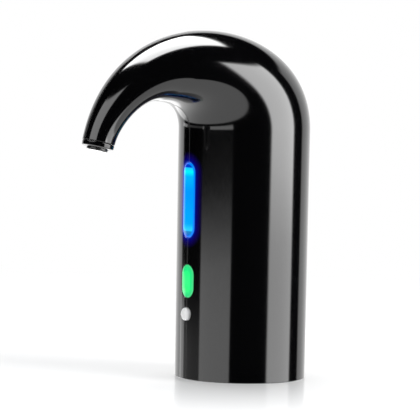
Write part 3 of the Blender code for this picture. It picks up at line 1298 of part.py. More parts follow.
def cup_spots():
    """Centres of the diaphragm's cups, seen from above."""
    spots = []
    for index in range(DIAPHRAGM_CUPS):
        turn = facing(2 * pi * index / DIAPHRAGM_CUPS)
        spots.append(turn * CUP_RING_RADIUS + Vector((0, PUMP_AXIS, 0)))
    return spots


def build_motor(finishes):
    """Motor can and end cap, and the rotor that turns in them."""
    place = pump_frame_matrix()
    bearing = SHAFT_RADIUS + SHAFT_CLEARANCE
    bore = MOTOR_RADIUS - CAN_WALL
    can_profile = (
        (bearing, CAN_BOTTOM), (MOTOR_RADIUS, CAN_BOTTOM), (MOTOR_RADIUS, CAN_TOP), (bore, CAN_TOP),
        (bore, CAN_BOTTOM + CAN_FLOOR), (bearing, CAN_BOTTOM + CAN_FLOOR),
    )
    turned("motor_can", can_profile, finishes["steel"], BARREL_SIDES, place)
    blind = END_CAP_BOTTOM + END_CAP_HEIGHT / 2
    cap_profile = (
        (bearing, END_CAP_BOTTOM), (MOTOR_RADIUS, END_CAP_BOTTOM), (MOTOR_RADIUS, END_CAP_TOP),
        (0, END_CAP_TOP), (0, blind), (bearing, blind),
    )
    turned("motor_end_cap", cap_profile, finishes["inner_black"], BARREL_SIDES, place)
    armature_low = CAN_BOTTOM + CAN_FLOOR + ARMATURE_LIFT
    armature_high = armature_low + ARMATURE_LENGTH
    eccentric_top = ECCENTRIC_BOTTOM + ECCENTRIC_HEIGHT
    shaft_top = blind - SEAT_GAP
    rotor_profile = (
        (0, ECCENTRIC_BOTTOM), (ECCENTRIC_RADIUS, ECCENTRIC_BOTTOM), (ECCENTRIC_RADIUS, eccentric_top),
        (SHAFT_RADIUS, eccentric_top), (SHAFT_RADIUS, armature_low), (ARMATURE_RADIUS, armature_low),
        (ARMATURE_RADIUS, armature_high), (SHAFT_RADIUS, armature_high), (SHAFT_RADIUS, shaft_top),
        (0, shaft_top),
    )
    rotor = turned("rotor", rotor_profile, finishes["copper"], BARREL_SIDES, place)
    tilt = wobble_frame()
    pin_top = ECCENTRIC_BOTTOM - WOBBLE_PIVOT + ECCENTRIC_HEIGHT / 2
    pin = rod("pin", tilt @ Vector((0, 0, -WOBBLE_THICKNESS / 2)), tilt @ Vector((0, 0, pin_top)),
              CRANK_PIN_RADIUS, finishes["steel"], TINY_SIDES)
    fuse(rotor, [pin])
    hang_on_joint("motor_axis", (0, PUMP_AXIS, ECCENTRIC_BOTTOM), [rotor])


def wobble_frame():
    """The tilted crank pin's own axes, with zero where it crosses the motor's axis."""
    pivot = Matrix.Translation((0, PUMP_AXIS, WOBBLE_PIVOT))
    return pivot @ Matrix.Rotation(WOBBLE_TILT, 4, "Y")


def build_wobble_plate(finishes):
    """Drive plate that rocks on the tilted pin and works the cups in turn."""
    finish = finishes["white_cap"]
    half = WOBBLE_THICKNESS / 2
    hub_profile = (
        (WOBBLE_BORE, -half), (WOBBLE_HUB_RADIUS, -half), (WOBBLE_HUB_RADIUS, half), (WOBBLE_BORE, half),
    )
    plate = turned("wobble_plate", hub_profile, finish, SMALL_SIDES)
    arms = []
    for index in range(DIAPHRAGM_CUPS):
        place = around(2 * pi * index / DIAPHRAGM_CUPS)
        inner = (WOBBLE_BORE + WOBBLE_HUB_RADIUS) / 2
        low = (inner, -WOBBLE_BORE, -half)
        high = (CUP_RING_RADIUS, WOBBLE_BORE, half)
        arms.append(block("arm", low, high, finish, place))
        spot = facing(2 * pi * index / DIAPHRAGM_CUPS) * CUP_RING_RADIUS
        pad = ((0, -half), (WOBBLE_ARM_RADIUS, -half), (WOBBLE_ARM_RADIUS, half), (0, half))
        arms.append(turned("pad", pad, finish, TINY_SIDES, Matrix.Translation(spot)))
    fuse(plate, arms)
    plate.data.transform(wobble_frame())
    hang_on_joint("crank_pin_axis", (0, PUMP_AXIS, WOBBLE_PIVOT), [plate])


def build_screws(finishes):
    """Screws up through the deck into the shells' bosses."""
    head_top = DECK_BOTTOM - SEAT_GAP
    tip = DECK_TOP + SHELL_SCREW_REACH
    profile = (
        (0, head_top - SHELL_SCREW_HEAD_HEIGHT), (SHELL_SCREW_HEAD, head_top - SHELL_SCREW_HEAD_HEIGHT),
        (SHELL_SCREW_HEAD, head_top), (SHELL_SCREW_RADIUS, head_top), (SHELL_SCREW_RADIUS, tip), (0, tip),
    )
    for side, hand in ((1, "right"), (-1, "left")):
        place = Matrix.Translation(boss_spot(side, 0))
        turned(f"shell_screw_{hand}", profile, finishes["steel"], TINY_SIDES, place)


def hang_on_joint(name, spot, pieces):
    """An empty on a joint's axis that carries the pieces that move with it."""
    axis = bpy.data.objects.new(name, None)
    axis.location = spot
    bpy.context.scene.collection.objects.link(axis)
    bpy.context.view_layer.update()
    for piece in pieces:
        piece.parent = axis
        piece.matrix_parent_inverse = axis.matrix_world.inverted()


def main():
    clear_scene()
    finishes = make_finishes()
    build_shell("right_shell", 1, finishes["gloss_black"])
    build_shell("left_shell", -1, finishes["gloss_black"])
    build_nozzle(finishes)
    build_front(finishes)
    build_board(finishes)
    build_carrier(finishes)
    build_cells(finishes)
    lower_contacts = build_contacts(finishes)
    cover = build_cover(finishes)
    hang_on_joint("battery_cover_joint", (0, 0, COVER_RECESS), [cover] + lower_contacts)
    build_grip(finishes)
    stopper = build_stopper(finishes)
    hang_on_joint("stopper_joint", (0, 0, DECK_BOTTOM), [stopper])
    build_manifold(finishes)
    build_hoses(finishes)
    build_leads(finishes)
    build_pump(finishes)
    build_motor(finishes)
    build_wobble_plate(finishes)
    build_screws(finishes)


main()
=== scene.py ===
"""Looks of an electric wine aerator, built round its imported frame.

Gloss black half shells, lit window and buttons, nozzle, socket fittings, the pieces inside and
a plain studio. Units are metres. +Z is up, the spout points to -Y, the barrel's axis is Z.
"""

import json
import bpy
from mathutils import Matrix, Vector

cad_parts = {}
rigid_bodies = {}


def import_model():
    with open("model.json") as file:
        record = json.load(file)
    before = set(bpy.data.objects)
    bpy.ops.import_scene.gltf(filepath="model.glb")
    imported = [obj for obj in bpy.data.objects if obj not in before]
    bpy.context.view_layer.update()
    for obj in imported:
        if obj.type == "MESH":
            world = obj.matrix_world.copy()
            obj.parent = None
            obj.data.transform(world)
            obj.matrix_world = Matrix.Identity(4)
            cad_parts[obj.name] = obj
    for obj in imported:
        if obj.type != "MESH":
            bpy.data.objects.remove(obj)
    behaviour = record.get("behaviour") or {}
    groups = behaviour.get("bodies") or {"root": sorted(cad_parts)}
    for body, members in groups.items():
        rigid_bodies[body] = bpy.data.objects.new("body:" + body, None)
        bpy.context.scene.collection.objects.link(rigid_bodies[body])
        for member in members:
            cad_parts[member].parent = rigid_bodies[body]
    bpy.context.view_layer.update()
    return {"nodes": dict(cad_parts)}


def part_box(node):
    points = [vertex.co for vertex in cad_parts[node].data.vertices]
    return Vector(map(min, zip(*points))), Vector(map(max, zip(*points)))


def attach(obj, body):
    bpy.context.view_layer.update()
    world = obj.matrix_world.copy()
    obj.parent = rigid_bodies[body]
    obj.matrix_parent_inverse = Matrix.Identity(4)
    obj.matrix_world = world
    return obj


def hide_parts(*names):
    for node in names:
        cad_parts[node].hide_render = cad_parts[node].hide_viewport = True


bl_info = {
    "name": "Wine Aerator Looks",
    "version": (1, 0, 0),
    "blender": (4, 5, 0),
    "location": "View3D > Sidebar > Aerator",
    "description": "Builds the finished pieces of an electric wine aerator round its frame",
    "category": "Object",
}

from math import cos, pi, radians, sin, sqrt

import bmesh
import bpy
from bpy.props import FloatProperty, FloatVectorProperty, IntProperty, PointerProperty
from mathutils import Matrix, Vector

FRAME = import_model()

MM = 0.001
HOUSING = "housing"


def span(node):
    """Lowest and highest corners of a frame node."""
    low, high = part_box(node)
    return Vector(low), Vector(high)


# Settings

class BodySettings(bpy.types.PropertyGroup):
    """Outline, wall and finish of the two half shells."""
    radius: FloatProperty(name="Barrel radius", description="Outer radius at the foot of the arch",
                          default=30.5 * MM, subtype="DISTANCE", unit="LENGTH")
    draft: FloatProperty(name="Draft", description="Share by which the barrel narrows towards its base",
                         default=0.01, subtype="FACTOR")
    straight_top: FloatProperty(name="Straight height", description="Height where the arch begins",
                                default=114.54 * MM, subtype="DISTANCE", unit="LENGTH")
    crown_reach: FloatProperty(name="Crown reach", description="How far forward the arch is highest",
                               default=22.36 * MM, subtype="DISTANCE", unit="LENGTH")
    crown_rise: FloatProperty(name="Crown rise", description="Height of the crown over the straight part",
                              default=45.46 * MM, subtype="DISTANCE", unit="LENGTH")
    crook_reach: FloatProperty(name="Crook reach", description="Crook's distance in front of the barrel",
                               default=20.0 * MM, subtype="DISTANCE", unit="LENGTH")
    crook_rise: FloatProperty(name="Crook rise", description="Height of the crook over the straight part",
                              default=12.9 * MM, subtype="DISTANCE", unit="LENGTH")
    wall: FloatProperty(name="Barrel wall", description="Wall thickness of the barrel",
                        default=1.8 * MM, subtype="DISTANCE", unit="LENGTH")
    spout_wall: FloatProperty(name="Spout wall", description="Wall thickness at the spout's end",
                              default=1.2 * MM, subtype="DISTANCE", unit="LENGTH")
    seam_gap: FloatProperty(name="Seam gap", description="Width of the parting line",
                            default=0.3 * MM, subtype="DISTANCE", unit="LENGTH")
    lap: FloatProperty(name="Seam lap", description="How far the tongue reaches past the seam",
                       default=1.2 * MM, subtype="DISTANCE", unit="LENGTH")
    edge_round: FloatProperty(name="Edge rounding", description="Radius of the moulded edges",
                              default=0.25 * MM, subtype="DISTANCE", unit="LENGTH")
    base_round: FloatProperty(name="Base rounding", description="Radius of the lower outer edge",
                              default=0.3 * MM, subtype="DISTANCE", unit="LENGTH")
    barrel_stations: IntProperty(name="Barrel stations", description="Sections up the barrel", default=40)
    arch_stations: IntProperty(name="Arch stations", description="Sections along the arch", default=150)
    arc_steps: IntProperty(name="Arc steps", description="Faces round each half section", default=72)
    colour: FloatVectorProperty(name="Colour", description="Moulded black", subtype="COLOR", size=3,
                                min=0.0, max=1.0, default=(0.0012, 0.0012, 0.0014))
    roughness: FloatProperty(name="Roughness", description="Softness of the reflections", default=0.09,
                             subtype="FACTOR")


class NozzleSettings(bpy.types.PropertyGroup):
    """The spout's axis and the pieces turned about it."""
    reach: FloatProperty(name="Tip reach", description="Distance of the tip in front of the barrel's axis",
                         default=79.5 * MM, subtype="DISTANCE", unit="LENGTH")
    drop: FloatProperty(name="Tip drop", description="How far the tip hangs below the foot of the arch",
                        default=8.2 * MM, subtype="DISTANCE", unit="LENGTH")
    tilt: FloatProperty(name="Tip tilt", description="Lean of the spout's axis", default=radians(12.8),
                        subtype="ANGLE", unit="ROTATION")
    radius: FloatProperty(name="Lip radius", description="Radius of the band's lower edge",
                          default=7.2 * MM, subtype="DISTANCE", unit="LENGTH")
    face_radius: FloatProperty(name="Face radius", description="Radius where the band's end face turns up",
                               default=6.6 * MM, subtype="DISTANCE", unit="LENGTH")
    spout_radius: FloatProperty(name="Spout end radius", description="Radius of the shells' lower end",
                                default=7.45 * MM, subtype="DISTANCE", unit="LENGTH")
    band: FloatProperty(name="Band height", description="Height of the band at the spout's end",
                        default=2.4 * MM, subtype="DISTANCE", unit="LENGTH")
    band_gap: FloatProperty(name="Band gap", description="Gap between the band and the shells",
                            default=0.3 * MM, subtype="DISTANCE", unit="LENGTH")
    sides: IntProperty(name="Sides", description="Faces round each turned piece", default=96)
    sleeve_bore: FloatProperty(name="Sleeve bore", description="Inner radius of the band's sleeve",
                               default=5.1 * MM, subtype="DISTANCE", unit="LENGTH")
    sleeve_radius: FloatProperty(name="Sleeve radius", description="Outer radius of the sleeve up the spout",
                                 default=5.65 * MM, subtype="DISTANCE", unit="LENGTH")
    sleeve_depth: FloatProperty(name="Sleeve depth", description="How far the sleeve reaches up the spout",
                                default=7.0 * MM, subtype="DISTANCE", unit="LENGTH")
    insert_radius: FloatProperty(name="Collar radius", description="Radius of the dark collar",
                                 default=4.8 * MM, subtype="DISTANCE", unit="LENGTH")
    insert_proud: FloatProperty(name="Collar stand-out", description="How far the collar stands out of the band",
                                default=0.9 * MM, subtype="DISTANCE", unit="LENGTH")
    insert_depth: FloatProperty(name="Collar depth", description="Height of the collar's top",
                                default=9.0 * MM, subtype="DISTANCE", unit="LENGTH")
    pocket_radius: FloatProperty(name="Pocket radius", description="Radius of the outlet's seat",
                                 default=3.3 * MM, subtype="DISTANCE", unit="LENGTH")
    pocket_depth: FloatProperty(name="Pocket depth", description="Depth of the outlet's seat",
                                default=6.5 * MM, subtype="DISTANCE", unit="LENGTH")
    outlet_bore: FloatProperty(name="Outlet bore", description="Radius of the outlet's hole",
                               default=2.1 * MM, subtype="DISTANCE", unit="LENGTH")
    outlet_mouth: FloatProperty(name="Outlet mouth", description="Radius of the outlet's lip",
                                default=2.7 * MM, subtype="DISTANCE", unit="LENGTH")
    outlet_cone: FloatProperty(name="Outlet cone", description="Height of the cone",
                               default=0.7 * MM, subtype="DISTANCE", unit="LENGTH")
    outlet_flange: FloatProperty(name="Outlet flange", description="Widest radius of the outlet",
                                 default=4.5 * MM, subtype="DISTANCE", unit="LENGTH")
    outlet_stem_radius: FloatProperty(name="Outlet stem radius", description="Radius of the stem in its seat",
                                      default=3.0 * MM, subtype="DISTANCE", unit="LENGTH")
    outlet_stem: FloatProperty(name="Outlet stem", description="Height of the stem's end",
                               default=6.0 * MM, subtype="DISTANCE", unit="LENGTH")
    steel: FloatVectorProperty(name="Outlet colour", description="Turned outlet cone", subtype="COLOR", size=3,
                               min=0.0, max=1.0, default=(0.9, 0.9, 0.9))


class LightSettings(bpy.types.PropertyGroup):
    """Lit window and the two push buttons."""
    half_width: FloatProperty(name="Half width", description="Half the width of the window and of the pour button",
                              default=4.6 * MM, subtype="DISTANCE", unit="LENGTH")
    power_radius: FloatProperty(name="Power button radius", description="Radius of the round button",
                                default=3.0 * MM, subtype="DISTANCE", unit="LENGTH")
    gap: FloatProperty(name="Opening gap", description="Gap round each piece in its opening",
                       default=0.25 * MM, subtype="DISTANCE", unit="LENGTH")
    flange: FloatProperty(name="Flange", description="How far each piece's flange reaches past its opening",
                          default=1.2 * MM, subtype="DISTANCE", unit="LENGTH")
    flange_depth: FloatProperty(name="Flange depth", description="Thickness of each piece's flange",
                                default=1.0 * MM, subtype="DISTANCE", unit="LENGTH")
    crown: FloatProperty(name="Crown", description="How far the window's middle stands out of the barrel",
                         default=0.28 * MM, subtype="DISTANCE", unit="LENGTH")
    lens_round: FloatProperty(name="Lens rounding", description="Radius of the edge round the lit fronts",
                              default=0.25 * MM, subtype="DISTANCE", unit="LENGTH")
    dome_rise: FloatProperty(name="Dome rise", description="Height of the round button's crowned front",
                             default=1.55 * MM, subtype="DISTANCE", unit="LENGTH")
    # Reach of the painted blue glow that the shells show round the window.
    painted_halo: FloatProperty(name="Halo", description="How far the window's light bleeds into the barrel",
                        default=5.0 * MM, subtype="DISTANCE", unit="LENGTH")
    power_height: FloatProperty(name="Power button height", description="Height of the round button's middle",
                                default=30.05 * MM, subtype="DISTANCE", unit="LENGTH")
    pour_low: FloatProperty(name="Pour button foot", description="Lowest point of the pour button",
                            default=37.7 * MM, subtype="DISTANCE", unit="LENGTH")
    pour_high: FloatProperty(name="Pour button head", description="Highest point of the pour button",
                             default=52.7 * MM, subtype="DISTANCE", unit="LENGTH")
    window_low: FloatProperty(name="Window foot", description="Lowest point of the window",
                              default=65.3 * MM, subtype="DISTANCE", unit="LENGTH")
    window_high: FloatProperty(name="Window head", description="Highest point of the window",
                               default=99.6 * MM, subtype="DISTANCE", unit="LENGTH")
    window_colour: FloatVectorProperty(name="Window light", description="Light in the window's middle",
                                       subtype="COLOR", size=3, min=0.0, max=1.0, default=(0.0, 0.35, 1.0))
    pour_colour: FloatVectorProperty(name="Pour button light", description="Light in the button's middle",
                                     subtype="COLOR", size=3, min=0.0, max=1.0, default=(0.05, 1.0, 0.2))
    power_colour: FloatVectorProperty(name="Power button colour", description="White cap", subtype="COLOR",
                                      size=3, min=0.0, max=1.0, default=(0.8, 0.8, 0.8))


class SocketSettings(bpy.types.PropertyGroup):
    """Battery cover and silicone pieces in the base."""
    cover_bore: FloatProperty(name="Cover bore", description="Inner radius of the battery cover",
                              default=17.75 * MM, subtype="DISTANCE", unit="LENGTH")
    notch_radius: FloatProperty(name="Notch radius", description="Radius of the fingernail notch",
                                default=4.0 * MM, subtype="DISTANCE", unit="LENGTH")
    notch_azimuth: FloatProperty(name="Notch azimuth", description="Notch's direction from the front, towards +X",
                                 default=radians(34.0), subtype="ANGLE", unit="ROTATION")
    grip_thickness: FloatProperty(name="Grip thickness", description="Thickness of the grip ring at its ribs",
                                  default=0.7 * MM, subtype="DISTANCE", unit="LENGTH")
    grip_groove: FloatProperty(name="Grip groove", description="Depth of the grooves between ribs",
                               default=0.25 * MM, subtype="DISTANCE", unit="LENGTH")
    grip_ribs: IntProperty(name="Grip ribs", description="Ribs inside the grip ring", default=2)


class HoseSettings(bpy.types.PropertyGroup):
    """Hoses and leads inside the shells."""
    wine_radius: FloatProperty(name="Wine hose radius", description="Outer radius of the wine hose",
                               default=2.8 * MM, subtype="DISTANCE", unit="LENGTH")
    wine_bore: FloatProperty(name="Wine hose bore", description="Inner radius of the wine hose",
                             default=1.8 * MM, subtype="DISTANCE", unit="LENGTH")
    wine_side: FloatProperty(name="Wine hose side", description="Wine hose's place beside the spout's axis",
                             default=1.8 * MM, subtype="DISTANCE", unit="LENGTH")
    air_radius: FloatProperty(name="Air hose radius", description="Outer radius of both air hoses",
                              default=1.8 * MM, subtype="DISTANCE", unit="LENGTH")
    air_bore: FloatProperty(name="Air hose bore", description="Inner radius of both air hoses",
                            default=1.1 * MM, subtype="DISTANCE", unit="LENGTH")
    air_start: FloatProperty(name="Air hose foot", description="Air hose's place beside the manifold's middle",
                             default=5.6 * MM, subtype="DISTANCE", unit="LENGTH")
    air_side: FloatProperty(name="Air hose side", description="Air hose's place beside the spout's axis",
                            default=3.1 * MM, subtype="DISTANCE", unit="LENGTH")
    forward: FloatProperty(name="Hoses forward", description="How far the hoses start in front of the barrel's axis",
                           default=1.6955 * MM, subtype="DISTANCE", unit="LENGTH")
    manifold_top: FloatProperty(name="Manifold height", description="Height of the manifold's top face",
                                default=60.0 * MM, subtype="DISTANCE", unit="LENGTH")
    barb: FloatProperty(name="Barb length", description="Length of each hose barb",
                        default=1.8 * MM, subtype="DISTANCE", unit="LENGTH")
    loop_handle: FloatProperty(name="Loop reach", description="Sideways pull of the pump hose's loop",
                               default=13.0 * MM, subtype="DISTANCE", unit="LENGTH")
    lead_radius: FloatProperty(name="Lead radius", description="Radius of each lead",
                               default=0.6 * MM, subtype="DISTANCE", unit="LENGTH")


class CellSettings(bpy.types.PropertyGroup):
    """Six cells in a ring and their contacts."""
    low: FloatProperty(name="Cell foot", description="Lowest point of the cells",
                       default=4.5 * MM, subtype="DISTANCE", unit="LENGTH")
    high: FloatProperty(name="Cell head", description="Highest point of the cells",
                        default=49.0 * MM, subtype="DISTANCE", unit="LENGTH")
    ring: FloatProperty(name="Cell ring", description="Distance of the cells from the barrel's axis",
                        default=23.0 * MM, subtype="DISTANCE", unit="LENGTH")
    strip: FloatProperty(name="Strip width", description="Width of the contact strips",
                         default=5.0 * MM, subtype="DISTANCE", unit="LENGTH")
    middle_azimuth: FloatProperty(name="Middle cell azimuth", description="Direction of each side's middle cell",
                                  default=radians(91.0), subtype="ANGLE", unit="ROTATION")
    pitch: FloatProperty(name="Cell pitch", description="Angle from cell to cell", default=radians(30.5),
                         subtype="ANGLE", unit="ROTATION")


class PumpSettings(bpy.types.PropertyGroup):
    """Rubber cup and diaphragm of the air pump."""
    seat: FloatProperty(name="Seat gap", description="Gap between the cup's floor and the pump",
                        default=0.3 * MM, subtype="DISTANCE", unit="LENGTH")
    cup_height: FloatProperty(name="Cup height", description="Height of the rubber cup",
                              default=5.0 * MM, subtype="DISTANCE", unit="LENGTH")
    cup_floor: FloatProperty(name="Cup floor", description="Thickness of the cup's floor",
                             default=1.7 * MM, subtype="DISTANCE", unit="LENGTH")
    cup_wall: FloatProperty(name="Cup wall", description="Thickness of the cup's wall",
                            default=0.85 * MM, subtype="DISTANCE", unit="LENGTH")
    pedestal: FloatProperty(name="Pedestal", description="Half width of the pedestal under the cup",
                            default=8.0 * MM, subtype="DISTANCE", unit="LENGTH")
    pedestal_front: FloatProperty(name="Pedestal front", description="Pedestal's distance behind the barrel's axis",
                                  default=9.0 * MM, subtype="DISTANCE", unit="LENGTH")
    sheet: FloatProperty(name="Diaphragm thickness", description="Thickness of the diaphragm's rim",
                         default=1.0 * MM, subtype="DISTANCE", unit="LENGTH")
    bells: IntProperty(name="Bells", description="Pumping cups on the diaphragm", default=3)
    bell_ring: FloatProperty(name="Bell ring", description="Distance of the bells from the motor's axis",
                             default=6.2 * MM, subtype="DISTANCE", unit="LENGTH")
    bell_radius: FloatProperty(name="Bell radius", description="Radius of each bell's foot",
                               default=3.0 * MM, subtype="DISTANCE", unit="LENGTH")
    bell_top_radius: FloatProperty(name="Bell top radius", description="Radius of each bell's top",
                                   default=2.3 * MM, subtype="DISTANCE", unit="LENGTH")
    lug_azimuth: FloatProperty(name="Lug azimuth", description="Direction of the two screw lugs",
                               default=radians(112.0), subtype="ANGLE", unit="ROTATION")
    lug_ring: FloatProperty(name="Lug distance", description="Lugs' distance from the motor's axis",
                            default=14.0 * MM, subtype="DISTANCE", unit="LENGTH")
    lug_radius: FloatProperty(name="Lug radius", description="Radius of each lug",
                              default=2.7 * MM, subtype="DISTANCE", unit="LENGTH")
    lug_hole: FloatProperty(name="Lug hole", description="Radius of each lug's hole",
                            default=1.05 * MM, subtype="DISTANCE", unit="LENGTH")


class StudioSettings(bpy.types.PropertyGroup):
    """Camera, floor, lamps and dark surround."""
    azimuth: FloatProperty(name="Camera azimuth", description="Camera's direction from the front, towards +X",
                           default=radians(55.55), subtype="ANGLE", unit="ROTATION")
    distance: FloatProperty(name="Camera distance", description="Level distance from the barrel's axis",
                            default=1279.58 * MM, subtype="DISTANCE", unit="LENGTH")
    height: FloatProperty(name="Camera height", description="Height over the floor", default=154.5 * MM,
                          subtype="DISTANCE", unit="LENGTH")
    aim_side: FloatProperty(name="Aim sideways", description="Aim point right of the barrel's axis",
                            default=-15.2 * MM, subtype="DISTANCE", unit="LENGTH")
    aim_height: FloatProperty(name="Aim height", description="Aim point over the floor", default=77.01 * MM,
                              subtype="DISTANCE", unit="LENGTH")
    roll: FloatProperty(name="Camera roll", description="Turn about the viewing direction", default=radians(1.09),
                        subtype="ANGLE", unit="ROTATION")
    lens: FloatProperty(name="Lens", description="Focal length in millimetres on a 36 mm sensor", default=237.05)
    floor_colour: FloatVectorProperty(name="Floor colour", description="Pale floor", subtype="COLOR", size=3,
                                      min=0.0, max=1.0, default=(0.66, 0.66, 0.66))
    floor_reach: FloatProperty(name="Floor radius", description="Radius of the floor", default=1.2,
                               subtype="DISTANCE", unit="LENGTH")
    floor_lift: FloatProperty(name="Floor lift", description="White added where the floor is seen", default=0.2)
    floor_polish: FloatProperty(name="Floor polish", description="Share of mirror gloss at the base", default=0.4,
                                subtype="FACTOR")
    mirror_reach: FloatProperty(name="Mirror reach", description="Where the floor's mirror gloss ends",
                                default=150.0 * MM, subtype="DISTANCE", unit="LENGTH")
    fill: FloatProperty(name="Fill", description="Strength of the world's soft light", default=0.4)
    overhead: FloatProperty(name="Overhead card", description="Brightness of the softbox's reflection", default=16.0)
    key_power: FloatProperty(name="Key lamp", description="Power of the lamp on the right", default=14.0)
    top_power: FloatProperty(name="Top lamp", description="Power of the lamp above", default=9.0)
    front_power: FloatProperty(name="Front lamp", description="Power of the lamp in front", default=6.0)


PARTS = {
    "body": BodySettings, "nozzle": NozzleSettings, "lights": LightSettings, "socket": SocketSettings,
    "hoses": HoseSettings, "cells": CellSettings, "pump": PumpSettings, "studio": StudioSettings,
}


def settings():
    return bpy.context.scene.aerator


# Material nodes

class Shader:
    """Adds nodes to a material and links them by socket."""

    def __init__(self, name, base=(0.5, 0.5, 0.5), roughness=0.5, metallic=0.0):
        self.material = bpy.data.materials.new(name)
        self.material.use_nodes = True
        self.tree = self.material.node_tree
        self.surface = self.tree.nodes["Principled BSDF"]
        self.put("Base Color", (*base, 1.0))
        self.put("Roughness", roughness)
        self.put("Metallic", metallic)

    def put(self, socket, value):
        """Sets a plain value on the surface, or links a node's output to it."""
        self.feed(self.surface.inputs[socket], value)

    def feed(self, socket, value):
        if isinstance(value, bpy.types.NodeSocket):
            self.tree.links.new(value, socket)
        else:
            socket.default_value = value

    def node(self, kind, values=None, **options):
        node = self.tree.nodes.new(kind)
        for name, value in options.items():
            setattr(node, name, value)
        for key, value in (values or {}).items():
            self.feed(node.inputs[key], value)
        return node

    def math(self, operation, first, second=0.0, clamp=False):
        return self.node("ShaderNodeMath", {0: first, 1: second}, operation=operation, use_clamp=clamp).outputs[0]

    def object_place(self):
        return self.node("ShaderNodeTexCoord").outputs["Object"]

    def noise(self, scale, detail=3.0, rough=0.5, place=None):
        place = place or self.object_place()
        values = {"Vector": place, "Scale": scale, "Detail": detail, "Roughness": rough}
        return self.node("ShaderNodeTexNoise", values).outputs["Fac"]

    def ramp(self, factor, stops):
        """Colours or greys at places between 0 and 1."""
        node = self.node("ShaderNodeValToRGB", {"Fac": factor})
        elements = node.color_ramp.elements
        while len(elements) < len(stops):
            elements.new(0.5)
        for element, (place, colour) in zip(elements, stops):
            element.position = place
            element.color = colour if len(colour) == 4 else (*colour, 1.0)
        return node.outputs["Color"]

    def spread(self, factor, low, high, new_low, new_high):
        values = {"Value": factor, "From Min": low, "From Max": high, "To Min": new_low, "To Max": new_high}
        return self.node("ShaderNodeMapRange", values).outputs["Result"]

    def edge(self, value, start, end):
        """Smooth step from 0 at start to 1 at end."""
        values = {"Value": value, "From Min": start, "From Max": end}
        return self.node("ShaderNodeMapRange", values, interpolation_type="SMOOTHSTEP").outputs["Result"]

    def blend(self, factor, first, second):
        node = self.node("ShaderNodeMix", data_type="RGBA")
        self.feed(node.inputs["Factor"], factor)
        colours = [socket for socket in node.inputs if socket.type == "RGBA"]
        for socket, value in zip(colours, (first, second)):
            self.feed(socket, value if isinstance(value, bpy.types.NodeSocket) else (*value, 1.0))
        return [socket for socket in node.outputs if socket.type == "RGBA"][0]

    def bump(self, height, strength, distance):
        values = {"Strength": strength, "Distance": distance, "Height": height}
        normal = self.node("ShaderNodeBump", values).outputs["Normal"]
        self.put("Normal", normal)

    def pill_distance(self, low, high):
        """Distance from an upright line on the front, between two heights."""
        place = self.node("ShaderNodeSeparateXYZ", {"Vector": self.object_place()})
        above = self.math("SUBTRACT", place.outputs["Z"], high)
        below = self.math("SUBTRACT", low, place.outputs["Z"])
        past = self.math("MAXIMUM", self.math("MAXIMUM", above, below), 0.0)
        squares = self.math("ADD", self.math("POWER", past, 2.0),
                            self.math("POWER", self.math("ABSOLUTE", place.outputs["X"]), 2.0))
        return self.math("SQRT", squares), place


def gloss_black():
    """Mirror-gloss moulded black, with the window's light painted round it as a blue glow on the barrel."""
    body, lights = settings().body, settings().lights
    shader = Shader("gloss_black", tuple(body.colour), body.roughness)
    ripple = shader.noise(38.0, 2.0, 0.4)
    fine = shader.noise(900.0, 4.0, 0.6)
    shader.put("Roughness", shader.spread(fine, 0.3, 0.7, body.roughness * 0.85, body.roughness * 1.2))
    shader.bump(ripple, 0.05, 0.0004)
    # Painted glow: blue emission on the barrel's front that fades out from the window's edge.
    half = lights.half_width
    distance, place = shader.pill_distance(lights.window_low + half, lights.window_high - half)
    front = shader.math("LESS_THAN", place.outputs["Y"], 0.0)
    barrel = shader.math("GREATER_THAN", place.outputs["Y"], -body.radius - lights.crown)
    away = shader.spread(distance, half, half + lights.painted_halo, 0.0, 1.0)
    painted_halo = shader.ramp(away, (
        (0.0, (0.001, 0.08, 0.52)), (0.1, (0.0, 0.014, 0.3)), (0.22, (0.0, 0.002, 0.18)), (0.45, (0.003, 0.0, 0.09)),
        (0.75, (0.002, 0.0, 0.03)), (1.0, (0.0, 0.0, 0.0))))
    shader.put("Emission Color", painted_halo)
    shader.put("Emission Strength", shader.math("MULTIPLY", front, barrel))
    return shader.material


# Finishes

FINISHES = {}


def finish(slot):
    """The procedural material of a record slot, made once."""
    if slot not in FINISHES:
        FINISHES[slot] = MAKERS[slot]()
    return FINISHES[slot]


def moulded(name, base, roughness, grain=1600.0, depth=0.02 * MM):
    """Moulded plastic with a fine eroded grain."""
    shader = Shader(name, base, roughness)
    cloud = shader.noise(90.0, 3.0, 0.6)
    fine = shader.noise(grain, 3.0, 0.6)
    shader.put("Base Color", shader.blend(cloud, base, tuple(value * 1.35 + 0.002 for value in base)))
    shader.put("Roughness", shader.spread(fine, 0.3, 0.7, roughness * 0.85, min(roughness * 1.2, 1.0)))
    shader.bump(fine, 0.35, depth)
    return shader


def inner_black():
    return moulded("inner_black", (0.02, 0.02, 0.022), 0.5).material


def dark_rubber():
    shader = moulded("dark_rubber", (0.026, 0.026, 0.028), 0.72, 2400.0, 0.03 * MM)
    shader.put("Specular IOR Level", 0.35)
    shader.put("Sheen Weight", 0.08)
    return shader.material


def silicone():
    """Milky silicone that lets a little light in."""
    shader = moulded("silicone", (0.56, 0.57, 0.56), 0.34, 1400.0, 0.015 * MM)
    shader.put("Subsurface Weight", 0.45)
    shader.put("Subsurface Radius", (2.0 * MM, 2.0 * MM, 1.8 * MM))
    shader.put("Subsurface Scale", 1.0)
    shader.put("Specular IOR Level", 0.42)
    return shader.material


def clear_hose():
    """Clear hose, slightly clouded."""
    shader = Shader("clear_hose", (0.93, 0.96, 0.96), 0.08)
    haze = shader.noise(260.0, 3.0, 0.6)
    shader.put("Roughness", shader.spread(haze, 0.3, 0.7, 0.05, 0.16))
    shader.put("Transmission Weight", 0.88)
    shader.put("IOR", 1.41)
    shader.bump(haze, 0.08, 0.05 * MM)
    return shader.material


